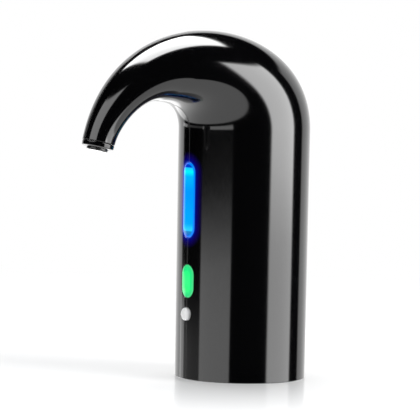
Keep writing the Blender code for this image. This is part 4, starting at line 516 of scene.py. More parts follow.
def metal(name, base, roughness, across, along):
    """Bright metal with fine working marks, stretched along Z where along is small."""
    shader = Shader(name, base, roughness, 1.0)
    place = shader.object_place()
    turned_to = shader.node("ShaderNodeMapping", {"Vector": place, "Scale": (across, across, along)})
    marks = shader.noise(1.0, 3.0, 0.65, turned_to.outputs["Vector"])
    tone = shader.noise(140.0, 2.0, 0.5)
    shader.put("Base Color", shader.blend(tone, base, tuple(value * 0.9 for value in base)))
    shader.put("Roughness", shader.spread(marks, 0.25, 0.75, roughness * 0.7, roughness * 1.45))
    shader.bump(marks, 0.12, 0.02 * MM)
    return shader


def steel():
    return metal("steel", (0.62, 0.62, 0.64), 0.24, 260.0, 4200.0).material


def outlet_steel():
    """Turned outlet: fine rings round the spout's axis."""
    nozzle = settings().nozzle
    shader = Shader("outlet_steel", tuple(nozzle.steel), 0.26, 1.0)
    frame = tip_frame()
    centred = shader.node("ShaderNodeMapping", {
        "Vector": shader.object_place(), "Location": frame.translation, "Rotation": frame.to_euler()},
        vector_type="TEXTURE")
    parts = shader.node("ShaderNodeSeparateXYZ", {"Vector": centred.outputs["Vector"]})
    squares = shader.math("ADD", shader.math("POWER", shader.math("ABSOLUTE", parts.outputs["X"]), 2.0),
                          shader.math("POWER", shader.math("ABSOLUTE", parts.outputs["Y"]), 2.0))
    radius = shader.math("SQRT", squares)
    line = shader.node("ShaderNodeCombineXYZ", {
        "X": shader.math("MULTIPLY", radius, 9000.0), "Y": shader.math("MULTIPLY", parts.outputs["Z"], 9000.0)})
    rings = shader.noise(1.0, 2.0, 0.6, line.outputs[0])
    shader.put("Roughness", shader.spread(rings, 0.25, 0.75, 0.16, 0.38))
    shader.bump(rings, 0.25, 0.02 * MM)
    return shader.material


def collar_black():
    """Darker than the pieces inside, because it shows at the spout's end."""
    return moulded("collar_black", (0.004, 0.004, 0.004), 0.3, 1500.0, 0.01 * MM).material


def spring_steel():
    return metal("spring_steel", (0.7, 0.68, 0.62), 0.28, 1500.0, 300.0).material


def copper():
    """Wound copper: tight turns over a lacquered core."""
    shader = metal("copper", (0.75, 0.35, 0.18), 0.3, 700.0, 700.0)
    place = shader.object_place()
    wave = shader.node("ShaderNodeTexWave", {"Vector": place, "Scale": 420.0, "Distortion": 0.4},
                       bands_direction="Z")
    shader.bump(wave.outputs["Fac"], 0.6, 0.12 * MM)
    tone = shader.noise(300.0, 2.0, 0.5)
    shader.put("Base Color", shader.blend(tone, (0.75, 0.35, 0.18), (0.55, 0.22, 0.1)))
    return shader.material


def lit(name, base, glow, strength, roughness=0.25):
    """Clear lens or chip lit from behind."""
    shader = Shader(name, base, roughness)
    cloud = shader.noise(240.0, 3.0, 0.5)
    shader.put("Roughness", shader.spread(cloud, 0.3, 0.7, roughness * 0.8, roughness * 1.3))
    shader.put("Emission Color", (*glow, 1.0))
    shader.put("Emission Strength", shader.spread(cloud, 0.3, 0.7, strength * 0.85, strength * 1.15))
    return shader


def blue_chip():
    return lit("blue_chip", (0.02, 0.35, 0.95), (0.0, 0.3, 1.0), 1.6).material


def green_chip():
    return lit("green_chip", (0.1, 0.85, 0.25), (0.05, 1.0, 0.25), 1.6).material


def diffuser():
    """Milky light guide, glowing blue."""
    shader = lit("diffuser", (0.8, 0.85, 0.9), (0.0, 0.22, 1.0), 0.06, 0.4)
    shader.put("Subsurface Weight", 0.4)
    shader.put("Subsurface Radius", (1.5 * MM, 1.5 * MM, 2.0 * MM))
    return shader.material


def white_cap():
    return moulded("white_cap", (0.78, 0.79, 0.8), 0.3, 1500.0, 0.01 * MM).material


def board():
    """Green coated circuit board with raised tracks."""
    shader = Shader("board", (0.01, 0.12, 0.05), 0.35)
    parts = shader.node("ShaderNodeSeparateXYZ", {"Vector": shader.object_place()})
    flat = shader.node("ShaderNodeCombineXYZ", {"X": parts.outputs["X"], "Y": parts.outputs["Z"]})
    tracks = shader.node("ShaderNodeTexBrick", {
        "Vector": flat.outputs[0], "Color1": (0.0, 0.0, 0.0, 1.0), "Color2": (0.0, 0.0, 0.0, 1.0),
        "Mortar": (1.0, 1.0, 1.0, 1.0), "Scale": 190.0, "Mortar Size": 0.035, "Brick Width": 1.3,
        "Row Height": 0.5})
    shader.put("Base Color", shader.blend(tracks.outputs["Color"], (0.008, 0.11, 0.045), (0.03, 0.24, 0.09)))
    fine = shader.noise(900.0, 2.0, 0.5)
    shader.put("Roughness", shader.spread(fine, 0.3, 0.7, 0.28, 0.42))
    shader.bump(tracks.outputs["Color"], 0.5, 0.05 * MM)
    return shader.material


def cell_jacket():
    """Plain dark shrink sleeve with a pale ring."""
    cells = settings().cells
    shader = metal("cell_jacket", (0.1, 0.12, 0.16), 0.3, 200.0, 900.0)
    shader.put("Metallic", 0.55)
    height = shader.node("ShaderNodeSeparateXYZ", {"Vector": shader.object_place()}).outputs["Z"]
    middle = (cells.low + cells.high) / 2
    away = shader.math("ABSOLUTE", shader.math("SUBTRACT", height, middle))
    ring = shader.edge(away, 1.1 * MM, 0.9 * MM)
    shader.put("Base Color", shader.blend(ring, (0.06, 0.075, 0.1), (0.42, 0.45, 0.5)))
    return shader.material


def sleeve(name, base):
    """Soft sleeve of a thin lead."""
    shader = moulded(name, base, 0.38, 1900.0, 0.01 * MM)
    return shader.material


def red_lead():
    return sleeve("red_lead", (0.6, 0.02, 0.02))


def black_lead():
    return sleeve("black_lead", (0.01, 0.01, 0.011))


MAKERS = {
    "gloss_black": gloss_black, "inner_black": inner_black, "dark_rubber": dark_rubber, "silicone": silicone,
    "clear_hose": clear_hose, "steel": steel, "spring_steel": spring_steel, "blue_lens": blue_chip,
    "green_lens": green_chip, "white_cap": white_cap, "diffuser": diffuser, "board": board,
    "cell_jacket": cell_jacket, "copper": copper, "red_lead": red_lead, "black_lead": black_lead,
}


# Mesh helpers

def finish_mesh(name, shape, material, sharp=35.0):
    """A named piece from a bmesh, with outward faces and soft shading."""
    bmesh.ops.recalc_face_normals(shape, faces=shape.faces)
    mesh = bpy.data.meshes.new(name)
    shape.to_mesh(mesh)
    shape.free()
    if material is not None:
        mesh.materials.append(material)
    piece = bpy.data.objects.new(name, mesh)
    bpy.context.scene.collection.objects.link(piece)
    soften(piece, sharp)
    return piece


def soften(piece, sharp=35.0):
    piece.data.shade_smooth()
    piece.data.set_sharp_from_angle(angle=radians(sharp))


def hand_in(piece, body, slot, *nodes):
    """Rides a piece on its body, in place of frame nodes."""
    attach(piece, body)
    if nodes:
        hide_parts(*nodes)
    return piece


def turned(name, profile, material, sides, place=None, sharp=35.0):
    """A closed piece turned about Z from (radius, height) points; radius 0 closes with a fan."""
    shape = bmesh.new()
    rings = []
    for radius, height in profile:
        if radius <= 0:
            rings.append([shape.verts.new((0, 0, height))])
            continue
        turns = [2 * pi * step / sides for step in range(sides)]
        rings.append([shape.verts.new((radius * cos(t), radius * sin(t), height)) for t in turns])
    for first, second in zip(rings, rings[1:] + rings[:1]):
        if len(first) == len(second) == 1:
            continue
        for step in range(sides):
            after = (step + 1) % sides
            corners = [first[step % len(first)], first[after % len(first)],
                       second[after % len(second)], second[step % len(second)]]
            unique = list(dict.fromkeys(corners))
            shape.faces.new(unique)
    if place is not None:
        bmesh.ops.transform(shape, matrix=place, verts=shape.verts)
    return finish_mesh(name, shape, material, sharp)


def rounded(points, radius, steps=4):
    """A closed profile with each corner rounded."""
    result = []
    count = len(points)
    for index, corner in enumerate(points):
        corner = Vector(corner)
        before = Vector(points[index - 1]) - corner
        after = Vector(points[(index + 1) % count]) - corner
        cut = min(radius, before.length * 0.45, after.length * 0.45)
        if corner.x <= 0 or cut <= 0:
            result.append(tuple(corner))
            continue
        start, end = corner + before.normalized() * cut, corner + after.normalized() * cut
        for step in range(steps + 1):
            share = step / steps
            rest = 1 - share
            spot = start * rest * rest + corner * 2 * rest * share + end * share * share
            result.append((max(spot.x, 0.0), spot.y))
    return result


def cut_out(body, tools):
    """Cuts the tools from a piece and removes them."""
    for tool in tools:
        step = body.modifiers.new(tool.name, "BOOLEAN")
        step.object = tool
        step.operation = "DIFFERENCE"
        step.solver = "EXACT"
    graph = bpy.context.evaluated_depsgraph_get()
    mesh = bpy.data.meshes.new_from_object(body.evaluated_get(graph))
    body.modifiers.clear()
    body.data = mesh
    for tool in tools:
        bpy.data.objects.remove(tool, do_unlink=True)
    return body


# Body outline

def bezier(points, share):
    rest = 1 - share
    start, first, second, end = points
    return (start * rest ** 3 + first * (3 * rest ** 2 * share) + second * (3 * rest * share ** 2)
            + end * share ** 3)


def tip_frame():
    """Zero at the spout's tip, +Z up the spout."""
    nozzle, body = settings().nozzle, settings().body
    tip = Vector((0, -nozzle.reach, body.straight_top - nozzle.drop))
    return Matrix.Translation(tip) @ Matrix.Rotation(-nozzle.tilt, 4, "X")


class Outline:
    """Back and front lines of the arch, each of two smooth curves that meet at the crown or crook."""

    def __init__(self):
        body, nozzle = settings().body, settings().nozzle
        self.body, self.nozzle = body, nozzle
        frame = tip_frame()
        self.up = (frame.to_3x3() @ Vector((0, 0, 1))).normalized()
        self.out = (frame.to_3x3() @ Vector((0, -1, 0))).normalized()
        self.end = frame.translation + self.up * (nozzle.band + nozzle.band_gap)
        rise, ahead = Vector((0, 0, 1)), Vector((0, -1, 0))
        back = Vector((0, body.radius, body.straight_top))
        front = Vector((0, -body.radius, body.straight_top))
        crown = Vector((0, -body.crown_reach, body.straight_top + body.crown_rise))
        crook = Vector((0, -body.radius - body.crook_reach, body.straight_top + body.crook_rise))
        outer_end = self.end + self.out * nozzle.spout_radius
        inner_end = self.end - self.out * nozzle.spout_radius
        self.outer = (
            (back, back + rise * 29.0 * MM, crown - ahead * 27.8 * MM, crown),
            (crown, crown + ahead * 30.5 * MM, outer_end + self.up * 30.2 * MM, outer_end),
        )
        self.inner = (
            (front, front + rise * 11.1 * MM, crook - ahead * 8.9 * MM, crook),
            (crook, crook + ahead * 10.6 * MM, inner_end + self.up * 8.8 * MM, inner_end),
        )

    def arch(self, share):
        """Centre, outward direction, radius and wall at a share of the arch."""
        half = min(int(share * 2), 1)
        local = share * 2 - half
        outer, inner = bezier(self.outer[half], local), bezier(self.inner[half], local)
        wall = self.body.wall + (self.body.spout_wall - self.body.wall) * share
        return (outer + inner) / 2, (outer - inner).normalized(), (outer - inner).length / 2, wall

    def barrel(self, height):
        top = self.body.straight_top
        radius = self.body.radius * (1 - self.body.draft * (1 - height / top))
        return Vector((0, 0, height)), Vector((0, 1, 0)), radius, radius - self.body.radius + self.body.wall

    def stations(self):
        """Sections from the base to the spout's end, with both end edges rounded."""
        body = self.body
        sections = []
        for step in range(5):
            turn = radians(90.0 * step / 4)
            centre, out, radius, wall = self.barrel(body.base_round * (1 - cos(turn)))
            inset = body.base_round * (1 - sin(turn))
            sections.append((centre, out, radius - inset, wall - inset))
        low, count = body.base_round, body.barrel_stations
        for step in range(1, count + 1):
            sections.append(self.barrel(low + (body.straight_top - low) * step / count))
        for step in range(1, body.arch_stations):
            sections.append(self.arch(step / body.arch_stations))
        centre, out, radius, wall = self.arch(1.0)
        for step in range(5):
            turn = radians(90.0 * step / 4)
            lift = body.edge_round * (1 - sin(turn))
            inset = body.edge_round * (1 - cos(turn))
            sections.append((centre + self.up * lift, out, radius - inset, wall - inset))
        return sections


# Geometry Nodes

class Wiring:
    """Adds nodes to a geometry tree and links them."""

    def __init__(self, name, inputs):
        self.tree = bpy.data.node_groups.new(name, "GeometryNodeTree")
        self.ids = {}
        for label, kind, value in inputs:
            socket = self.tree.interface.new_socket(name=label, in_out="INPUT", socket_type=kind)
            if value is not None:
                socket.default_value = value
            self.ids[label] = socket.identifier
        self.tree.interface.new_socket(name="Geometry", in_out="OUTPUT", socket_type="NodeSocketGeometry")
        self.start = self.tree.nodes.new("NodeGroupInput").outputs
        self.finish = self.tree.nodes.new("NodeGroupOutput")

    def node(self, kind, values=None, **options):
        node = self.tree.nodes.new(kind)
        for name, value in options.items():
            setattr(node, name, value)
        for key, value in (values or {}).items():
            self.feed(node.inputs[key], value)
        return node

    def feed(self, socket, value):
        if isinstance(value, bpy.types.NodeSocket):
            self.tree.links.new(value, socket)
        else:
            socket.default_value = value

    def math(self, operation, first, second=0.0):
        return self.node("ShaderNodeMath", {0: first, 1: second}, operation=operation).outputs[0]

    def scale(self, vector, factor):
        return self.node("ShaderNodeVectorMath", {0: vector, "Scale": factor}, operation="SCALE").outputs[0]

    def add(self, first, second):
        return self.node("ShaderNodeVectorMath", {0: first, 1: second}, operation="ADD").outputs[0]

    def attribute(self, name, kind="FLOAT"):
        return self.node("GeometryNodeInputNamedAttribute", {"Name": name}, data_type=kind).outputs["Attribute"]

    def sample(self, geometry, value, index, kind="FLOAT"):
        values = {"Geometry": geometry, "Value": value, "Index": index}
        return self.node("GeometryNodeSampleIndex", values, data_type=kind).outputs[0]

    def close(self, geometry, material):
        """Ends the tree with real geometry in one material."""
        real = self.node("GeometryNodeRealizeInstances", {"Geometry": geometry}).outputs[0]
        coated = self.node("GeometryNodeSetMaterial", {"Geometry": real, "Material": material}).outputs[0]
        self.tree.links.new(coated, self.finish.inputs[0])
        return self.tree


def grow(name, wiring, values, sharp=35.0):
    """Evaluates a tree on a new object and keeps the result as a plain mesh."""
    piece = bpy.data.objects.new(name, bpy.data.meshes.new(name))
    bpy.context.scene.collection.objects.link(piece)
    step = piece.modifiers.new(name, "NODES")
    step.node_group = wiring.tree
    for label, value in values.items():
        step[wiring.ids[label]] = value
    graph = bpy.context.evaluated_depsgraph_get()
    mesh = bpy.data.meshes.new_from_object(piece.evaluated_get(graph))
    piece.modifiers.clear()
    piece.data = mesh
    mesh.name = name
    soften(piece, sharp)
    return piece


def table_mesh(name, points, **columns):
    """Points that carry number or vector attributes, read by a tree."""
    mesh = bpy.data.meshes.new(name)
    mesh.from_pydata(points, [], [])
    for label, values in columns.items():
        vectors = isinstance(values[0], Vector)
        layer = mesh.attributes.new(label, "FLOAT_VECTOR" if vectors else "FLOAT", "POINT")
        for spot, value in zip(layer.data, values):
            if vectors:
                spot.vector = value
            else:
                spot.value = value
    holder = bpy.data.objects.new(name, mesh)
    bpy.context.scene.collection.objects.link(holder)
    return holder


def sweep_tree():
    """A wall swept along the spine: every outline point is placed on every section."""
    wiring = Wiring("shell_sweep", (
        ("Spine", "NodeSocketObject", None), ("Wall outline", "NodeSocketObject", None),
        ("Side", "NodeSocketFloat", 1.0), ("Material", "NodeSocketMaterial", None),
    ))
    start = wiring.start
    spine = wiring.node("GeometryNodeObjectInfo", {"Object": start["Spine"]}).outputs["Geometry"]
    outline = wiring.node("GeometryNodeObjectInfo", {"Object": start["Wall outline"]}).outputs["Geometry"]
    sections = wiring.node("GeometryNodeAttributeDomainSize", {"Geometry": spine}).outputs["Point Count"]
    corners = wiring.node("GeometryNodeAttributeDomainSize", {"Geometry": outline}).outputs["Point Count"]
    grid = wiring.node("GeometryNodeMeshGrid", {"Vertices X": sections, "Vertices Y": corners}).outputs["Mesh"]
    index = wiring.node("GeometryNodeInputIndex").outputs[0]
    row = wiring.math("FLOOR", wiring.math("DIVIDE", wiring.math("ADD", index, 0.5), corners))
    column = wiring.math("SUBTRACT", index, wiring.math("MULTIPLY", row, corners))
    centre = wiring.sample(spine, wiring.node("GeometryNodeInputPosition").outputs[0], row, "FLOAT_VECTOR")
    outward = wiring.sample(spine, wiring.attribute("outward", "FLOAT_VECTOR"), row, "FLOAT_VECTOR")
    radius = wiring.sample(spine, wiring.attribute("radius"), row)
    wall = wiring.sample(spine, wiring.attribute("wall"), row)
    turn = wiring.sample(outline, wiring.attribute("turn"), column)
    layer = wiring.sample(outline, wiring.attribute("layer"), column)
    depth = wiring.sample(outline, wiring.attribute("depth"), column)
    lap = wiring.sample(outline, wiring.attribute("lap"), column)
    inset = wiring.math("ADD", wiring.math("MULTIPLY", wall, layer), depth)
    ring = wiring.math("SUBTRACT", radius, inset)
    first = wiring.math("ARCSINE", wiring.math("DIVIDE", lap, ring))
    whole = wiring.math("SUBTRACT", pi, wiring.math("MULTIPLY", first, 2.0))
    angle = wiring.math("ADD", first, wiring.math("MULTIPLY", whole, turn))
    along = wiring.scale(outward, wiring.math("MULTIPLY", ring, wiring.math("COSINE", angle)))
    sideways = wiring.math("MULTIPLY", wiring.math("MULTIPLY", ring, wiring.math("SINE", angle)), start["Side"])
    across = wiring.node("ShaderNodeCombineXYZ", {"X": sideways}).outputs[0]
    spot = wiring.add(wiring.add(centre, along), across)
    placed = wiring.node("GeometryNodeSetPosition", {"Geometry": grid, "Position": spot}).outputs[0]
    joined = wiring.node("GeometryNodeMergeByDistance", {"Geometry": placed, "Distance": 0.5e-6}).outputs[0]
    wiring.close(joined, start["Material"])
    return wiring


def wall_outline(side):
    """Points round one half wall: the outside, both stepped seams and the inside."""
    body = settings().body
    half_gap = body.seam_gap / 2
    edge = body.edge_round
    step_depth = half_gap * side
    inner_lap = -body.lap if side > 0 else body.lap + body.seam_gap
    rows = []
    for step in range(body.arc_steps + 1):
        rows.append((step / body.arc_steps, 0.0, 0.0, half_gap + edge))
    for step in range(1, 5):
        turn = radians(90.0 * step / 4)
        rows.append((1.0, 0.0, edge * (1 - cos(turn)), half_gap + edge * (1 - sin(turn))))
    rows += [(1.0, 0.5, step_depth, half_gap), (1.0, 0.5, step_depth, inner_lap)]
    for step in range(body.arc_steps + 1):
        rows.append((1.0 - step / body.arc_steps, 1.0, 0.0, inner_lap))
    rows += [(0.0, 0.5, step_depth, inner_lap), (0.0, 0.5, step_depth, half_gap)]
    for step in range(4, -1, -1):
        turn = radians(90.0 * step / 4)
        rows.append((0.0, 0.0, edge * (1 - cos(turn)), half_gap + edge * (1 - sin(turn))))
    turns, layers, depths, laps = zip(*rows)
    name = "right_wall_outline" if side > 0 else "left_wall_outline"
    return table_mesh(name, [(0, 0, 0)] * len(rows), turn=turns, layer=layers, depth=depths, lap=laps)


def pill_ring(radius, half_straight, height, steps, depth):
    """Upright pill outline; its depth in front of the axis may follow the barrel."""
    points = []
    for end in (1, -1):
        for step in range(steps + 1):
            turn = pi * step / steps
            x = end * radius * cos(turn)
            z = height + end * (half_straight + radius * sin(turn))
            points.append(Vector((x, -depth(x, z) if callable(depth) else -depth, z)))
    return points


def pill_piece(name, levels, half_straight, height, material, steps=20, sharp=35.0):
    """A closed piece through pill outlines of (radius, depth)."""
    shape = bmesh.new()
    loops = []
    for radius, depth in levels:
        ring = pill_ring(radius, half_straight, height, steps, depth)
        loops.append([shape.verts.new(point) for point in ring])
    for first, second in zip(loops, loops[1:]):
        for index in range(len(first)):
            after = (index + 1) % len(first)
            shape.faces.new((first[index], first[after], second[after], second[index]))
    for loop in (loops[0], loops[-1]):
        half = len(loop) // 2
        for index in range(half - 1):
            shape.faces.new((loop[index], loop[index + 1], loop[-2 - index], loop[-1 - index]))
    bmesh.ops.remove_doubles(shape, verts=shape.verts, dist=1e-7)
    return finish_mesh(name, shape, material, sharp)


def skin(lift):
    """Depth of the barrel's front at a place, with a lift out of it."""
    outline = Outline()
    return lambda x, z: sqrt(outline.barrel(z)[2] ** 2 - x * x) + lift


def front_openings(material):
    """Cutters for the window and the two buttons, with softened mouths that follow the barrel."""
    body, lights = settings().body, settings().lights
    tools = []
    openings = (
        (lights.half_width, lights.window_low, lights.window_high),
        (lights.half_width, lights.pour_low, lights.pour_high),
        (lights.power_radius, lights.power_height - lights.power_radius, lights.power_height + lights.power_radius),
    )
    for radius, low, high in openings:
        wide = radius + lights.gap
        soft = 0.2 * MM
        levels = [(wide, body.radius - 2 * body.wall)]
        for step in range(5):
            turn = radians(90.0 * step / 4)
            levels.append((wide + soft * (1 - cos(turn)), skin(-soft * (1 - sin(turn)))))
        levels.append((wide + soft, body.radius + 2 * MM))
        half_straight = (high - low) / 2 - radius
        tools.append(pill_piece("opening", levels, half_straight, (low + high) / 2, material, 16))
    return tools


class AERATOR_OT_body(bpy.types.Operator):
    """Two gloss black half shells with their parting line and front openings"""
    bl_idname = "aerator.body"
    bl_label = "Half Shells"

    def execute(self, context):
        material = finish("gloss_black")
        outline = Outline()
        sections = outline.stations()
        centres, outs, radii, walls = zip(*sections)
        spine = table_mesh("shell_spine", centres, outward=outs, radius=radii, wall=walls)
        wiring = sweep_tree()
        for side, hand in ((1, "right"), (-1, "left")):
            wall = wall_outline(side)
            shell = grow(f"{hand}_body", wiring, {"Spine": spine, "Wall outline": wall, "Side": float(side),
                                                  "Material": material})
            close_ends(shell, len(wall.data.vertices) - 1)
            cut_out(shell, front_openings(material))
            soften(shell, 9.0)
            hand_in(shell, HOUSING, "gloss_black", f"{hand}_shell")
            bpy.data.objects.remove(wall, do_unlink=True)
        bpy.data.objects.remove(spine, do_unlink=True)
        return {"FINISHED"}


def close_ends(shell, count):
    """Fills the two open ends of a swept half wall with strips from outside to inside."""
    body = settings().body
    shape = bmesh.new()
    shape.from_mesh(shell.data)
    shape.verts.ensure_lookup_table()
    total = len(shape.verts)
    steps = body.arc_steps
    for base in (0, total - count):
        ring = [shape.verts[base + number] for number in range(count)]
        inner_first = steps + 7
        inner = [ring[inner_first + steps - step] for step in range(steps + 1)]
        for step in range(1, steps - 1):
            shape.faces.new((ring[step], ring[step + 1], inner[step + 1], inner[step]))
        tail = [ring[steps - 1]] + ring[steps:steps + 7] + [inner[steps], inner[steps - 1]]
        shape.faces.new(list(dict.fromkeys(tail)))
        head = ring[inner_first + steps:] + [ring[0], ring[1], inner[1]]
        shape.faces.new(list(dict.fromkeys(head)))
    bmesh.ops.recalc_face_normals(shape, faces=shape.faces)
    shape.to_mesh(shell.data)
    shape.free()


# Nozzle

class AERATOR_OT_nozzle(bpy.types.Operator):
    """Band, dark collar, steel outlet and seal at the spout's end"""
    bl_idname = "aerator.nozzle"
    bl_label = "Nozzle"

    def execute(self, context):
        nozzle = settings().nozzle
        place, sides = tip_frame(), nozzle.sides
        lip = nozzle.radius
        band = [(nozzle.sleeve_bore, 0), (nozzle.face_radius, 0.26 * MM), (lip, 0.45 * MM),
                (lip + 0.2 * MM, nozzle.band),
                (nozzle.sleeve_radius, nozzle.band), (nozzle.sleeve_radius, nozzle.sleeve_depth),
                (nozzle.sleeve_bore, nozzle.sleeve_depth)]
        ring = turned("nozzle_band", rounded(band, 0.35 * MM, 6), finish("gloss_black"), sides, place)
        hand_in(ring, HOUSING, "gloss_black", "nozzle_ring")
        prouder, pocket = -nozzle.insert_proud, nozzle.pocket_radius
        insert = [(0, nozzle.insert_depth), (0, nozzle.pocket_depth), (pocket, nozzle.pocket_depth),
                  (pocket, prouder), (nozzle.insert_radius, prouder), (nozzle.insert_radius, nozzle.insert_depth)]
        collar = turned("nozzle_collar", rounded(insert, 0.3 * MM, 5), collar_black(), sides, place)
        hoses = settings().hoses
        barbs = []
        for side, bore in ((hoses.wine_side, hoses.wine_bore), (-hoses.air_side, hoses.air_bore)):
            root, top = nozzle.insert_depth - 1.5 * MM, nozzle.insert_depth + hoses.barb
            tube = [(bore * 0.55, root), (bore - 0.25 * MM, root), (bore - 0.25 * MM, top), (bore * 0.55, top)]
            spot = place @ Matrix.Translation((side, 0, 0))
            barbs.append(turned("barb", rounded(tube, 0.15 * MM, 3), collar.data.materials[0], 32, spot))
        hand_in(join(collar, barbs), HOUSING, "inner_black", "nozzle_insert")
        shoulder = prouder - 0.3 * MM
        outlet = [(nozzle.outlet_bore, nozzle.outlet_stem), (nozzle.outlet_bore, shoulder - nozzle.outlet_cone),
                  (nozzle.outlet_mouth, shoulder - nozzle.outlet_cone), (nozzle.outlet_flange, shoulder),
                  (nozzle.outlet_stem_radius, shoulder), (nozzle.outlet_stem_radius, nozzle.outlet_stem)]
        tip = turned("steel_outlet", rounded(outlet, 0.18 * MM, 5), outlet_steel(), sides, place)
        hand_in(tip, HOUSING, "steel", "outlet_tip")
        rise = nozzle.sleeve_depth + 0.65 * MM
        seal = seal_ring("nozzle_packing", nozzle.insert_radius + 0.65 * MM, 0.35 * MM, rise, place)
        hand_in(seal, HOUSING, "dark_rubber", "nozzle_seal")
        return {"FINISHED"}


def seal_ring(name, centre, radius, height, place=None):
    """A round-section rubber ring."""
    profile = []
    for step in range(16):
        turn = 2 * pi * step / 16
        profile.append((centre + radius * cos(turn), height + radius * sin(turn)))
    return turned(name, profile, finish("dark_rubber"), 72, place, 80.0)


def join(piece, others):
    """Adds the meshes of other pieces to the first and removes them."""
    shape = bmesh.new()
    shape.from_mesh(piece.data)
    for other in others:
        shape.from_mesh(other.data)
        bpy.data.objects.remove(other, do_unlink=True)
    shape.to_mesh(piece.data)
    shape.free()
    return piece


# Window and buttons

def dome(radius, foot, start, rise, steps=10, last=84.0):
    """Levels of a crowned pill front, from its foot to near its top."""
    levels = [(radius, foot), (radius, start)]
    for step in range(1, steps + 1):
        turn = radians(last) * step / steps
        levels.append((radius * cos(turn), start + rise * sin(turn)))
    return levels


def flush(radius, foot, edge, crown, steps=8):
    """Levels of a lit front that follows the barrel, with a rounded edge and a slight crown."""
    levels = [(radius, foot)]
    for step in range(5):
        turn = radians(90.0 * step / 4)
        levels.append((radius - edge * (1 - cos(turn)), skin(edge * (sin(turn) - 1))))
    for step in range(1, steps):
        share = 1 - step / steps
        levels.append(((radius - edge) * share, skin(crown * (1 - share * share))))
    return levels


def lens_shader(name, low, high, half_width, base):
    """A lit pill: its distance from the middle line drives rim, band and core; on the window the rim is a painted
    highlight and the band painted shade.
    """
    shader = Shader(name, base, 0.12)
    distance, place = shader.pill_distance(low + half_width, high - half_width)
    share = shader.math("DIVIDE", distance, half_width)
    cloud = shader.noise(420.0, 2.0, 0.5)
    shader.put("Roughness", shader.spread(cloud, 0.3, 0.7, 0.1, 0.16))
    return shader, share, place


def window_lens():
    """Blue window: azure core, cyan near both ends, a dark band of painted shade under a pale violet rim of painted
    highlight; on the left the band is darker and the rim more violet, as if light fell on that side of the recess.
    """
    lights = settings().lights
    low, high, half = lights.window_low, lights.window_high, lights.half_width
    shader, share, place = lens_shader("window_lens", low, high, half, (0.0, 0.03, 0.2))
    height = shader.spread(place.outputs["Z"], low, high, 0.0, 1.0)
    # The core is the window's own light; its darkest stops at both ends are painted shade under the rim.
    core = shader.ramp(height, (
        (0.0, (0.0, 0.08, 0.55)), (0.075, (0.0, 0.2, 0.42)), (0.1, (0.02, 0.62, 1.0)), (0.2, (0.0, 0.38, 1.0)),
        (0.6, (0.0, 0.31, 1.0)), (0.8, (0.0, 0.45, 1.0)), (0.88, (0.0, 0.9, 0.95)), (0.925, (0.01, 0.6, 1.0)),
        (0.94, (0.0, 0.03, 0.5)), (1.0, (0.0, 0.02, 0.45))))
    core.node.color_ramp.interpolation = "EASE"
    # Painted light and shade: inside masks a painted shade band within the outline, rim a painted highlight on the
    # edge, and left makes the band darker and the rim more violet on the left side.
    left = shader.edge(place.outputs["X"], 0.35 * half, -0.45 * half)
    inside = shader.edge(share, 0.9, 0.76)
    rim = shader.edge(share, 0.84, 0.92)
    painted_shade_band_and_core = shader.blend(inside, shader.blend(left, (0.0, 0.3, 0.95), (0.0, 0.09, 0.6)), core)
    colour = shader.blend(rim, painted_shade_band_and_core, shader.blend(left, (0.0, 0.2, 0.8), (0.1, 0.17, 0.95)))
    shader.put("Emission Color", colour)
    shader.put("Emission Strength", 1.0)
    shader.put("Specular IOR Level", 0.3)
    return shader.material


def pour_lens():
    """Green button: bright core, deeper ends, thin mint rim."""
    lights = settings().lights
    low, high, half = lights.pour_low, lights.pour_high, lights.half_width
    shader, share, place = lens_shader("pour_lens", low, high, half, (0.02, 0.3, 0.12))
    height = shader.spread(place.outputs["Z"], low, high, 0.0, 1.0)
    core = shader.ramp(height, (
        (0.0, (0.0, 0.5, 0.12)), (0.2, (0.0, 0.82, 0.12)), (0.45, (0.03, 1.0, 0.17)), (0.75, (0.01, 0.85, 0.15)),
        (1.0, (0.0, 0.42, 0.14))))
    edge = shader.edge(share, 0.3, 0.8)
    rim = shader.edge(share, 0.76, 0.88)
    deep = shader.blend(edge, core, (0.0, 0.58, 0.13))
    colour = shader.blend(rim, deep, (0.035, 0.5, 0.14))
    shader.put("Emission Color", colour)
    shader.put("Emission Strength", 0.92)
    return shader.material


def power_finish():
    """White cap with a fine orange-peel skin."""
    lights = settings().lights
    base = tuple(lights.power_colour)
    shader = moulded("power_cap", base, 0.34, 700.0, 0.03 * MM)
    cloud = shader.noise(500.0, 3.0, 0.6)
    shader.put("Base Color", shader.blend(cloud, base, tuple(value * 0.9 for value in base)))
    return shader.material


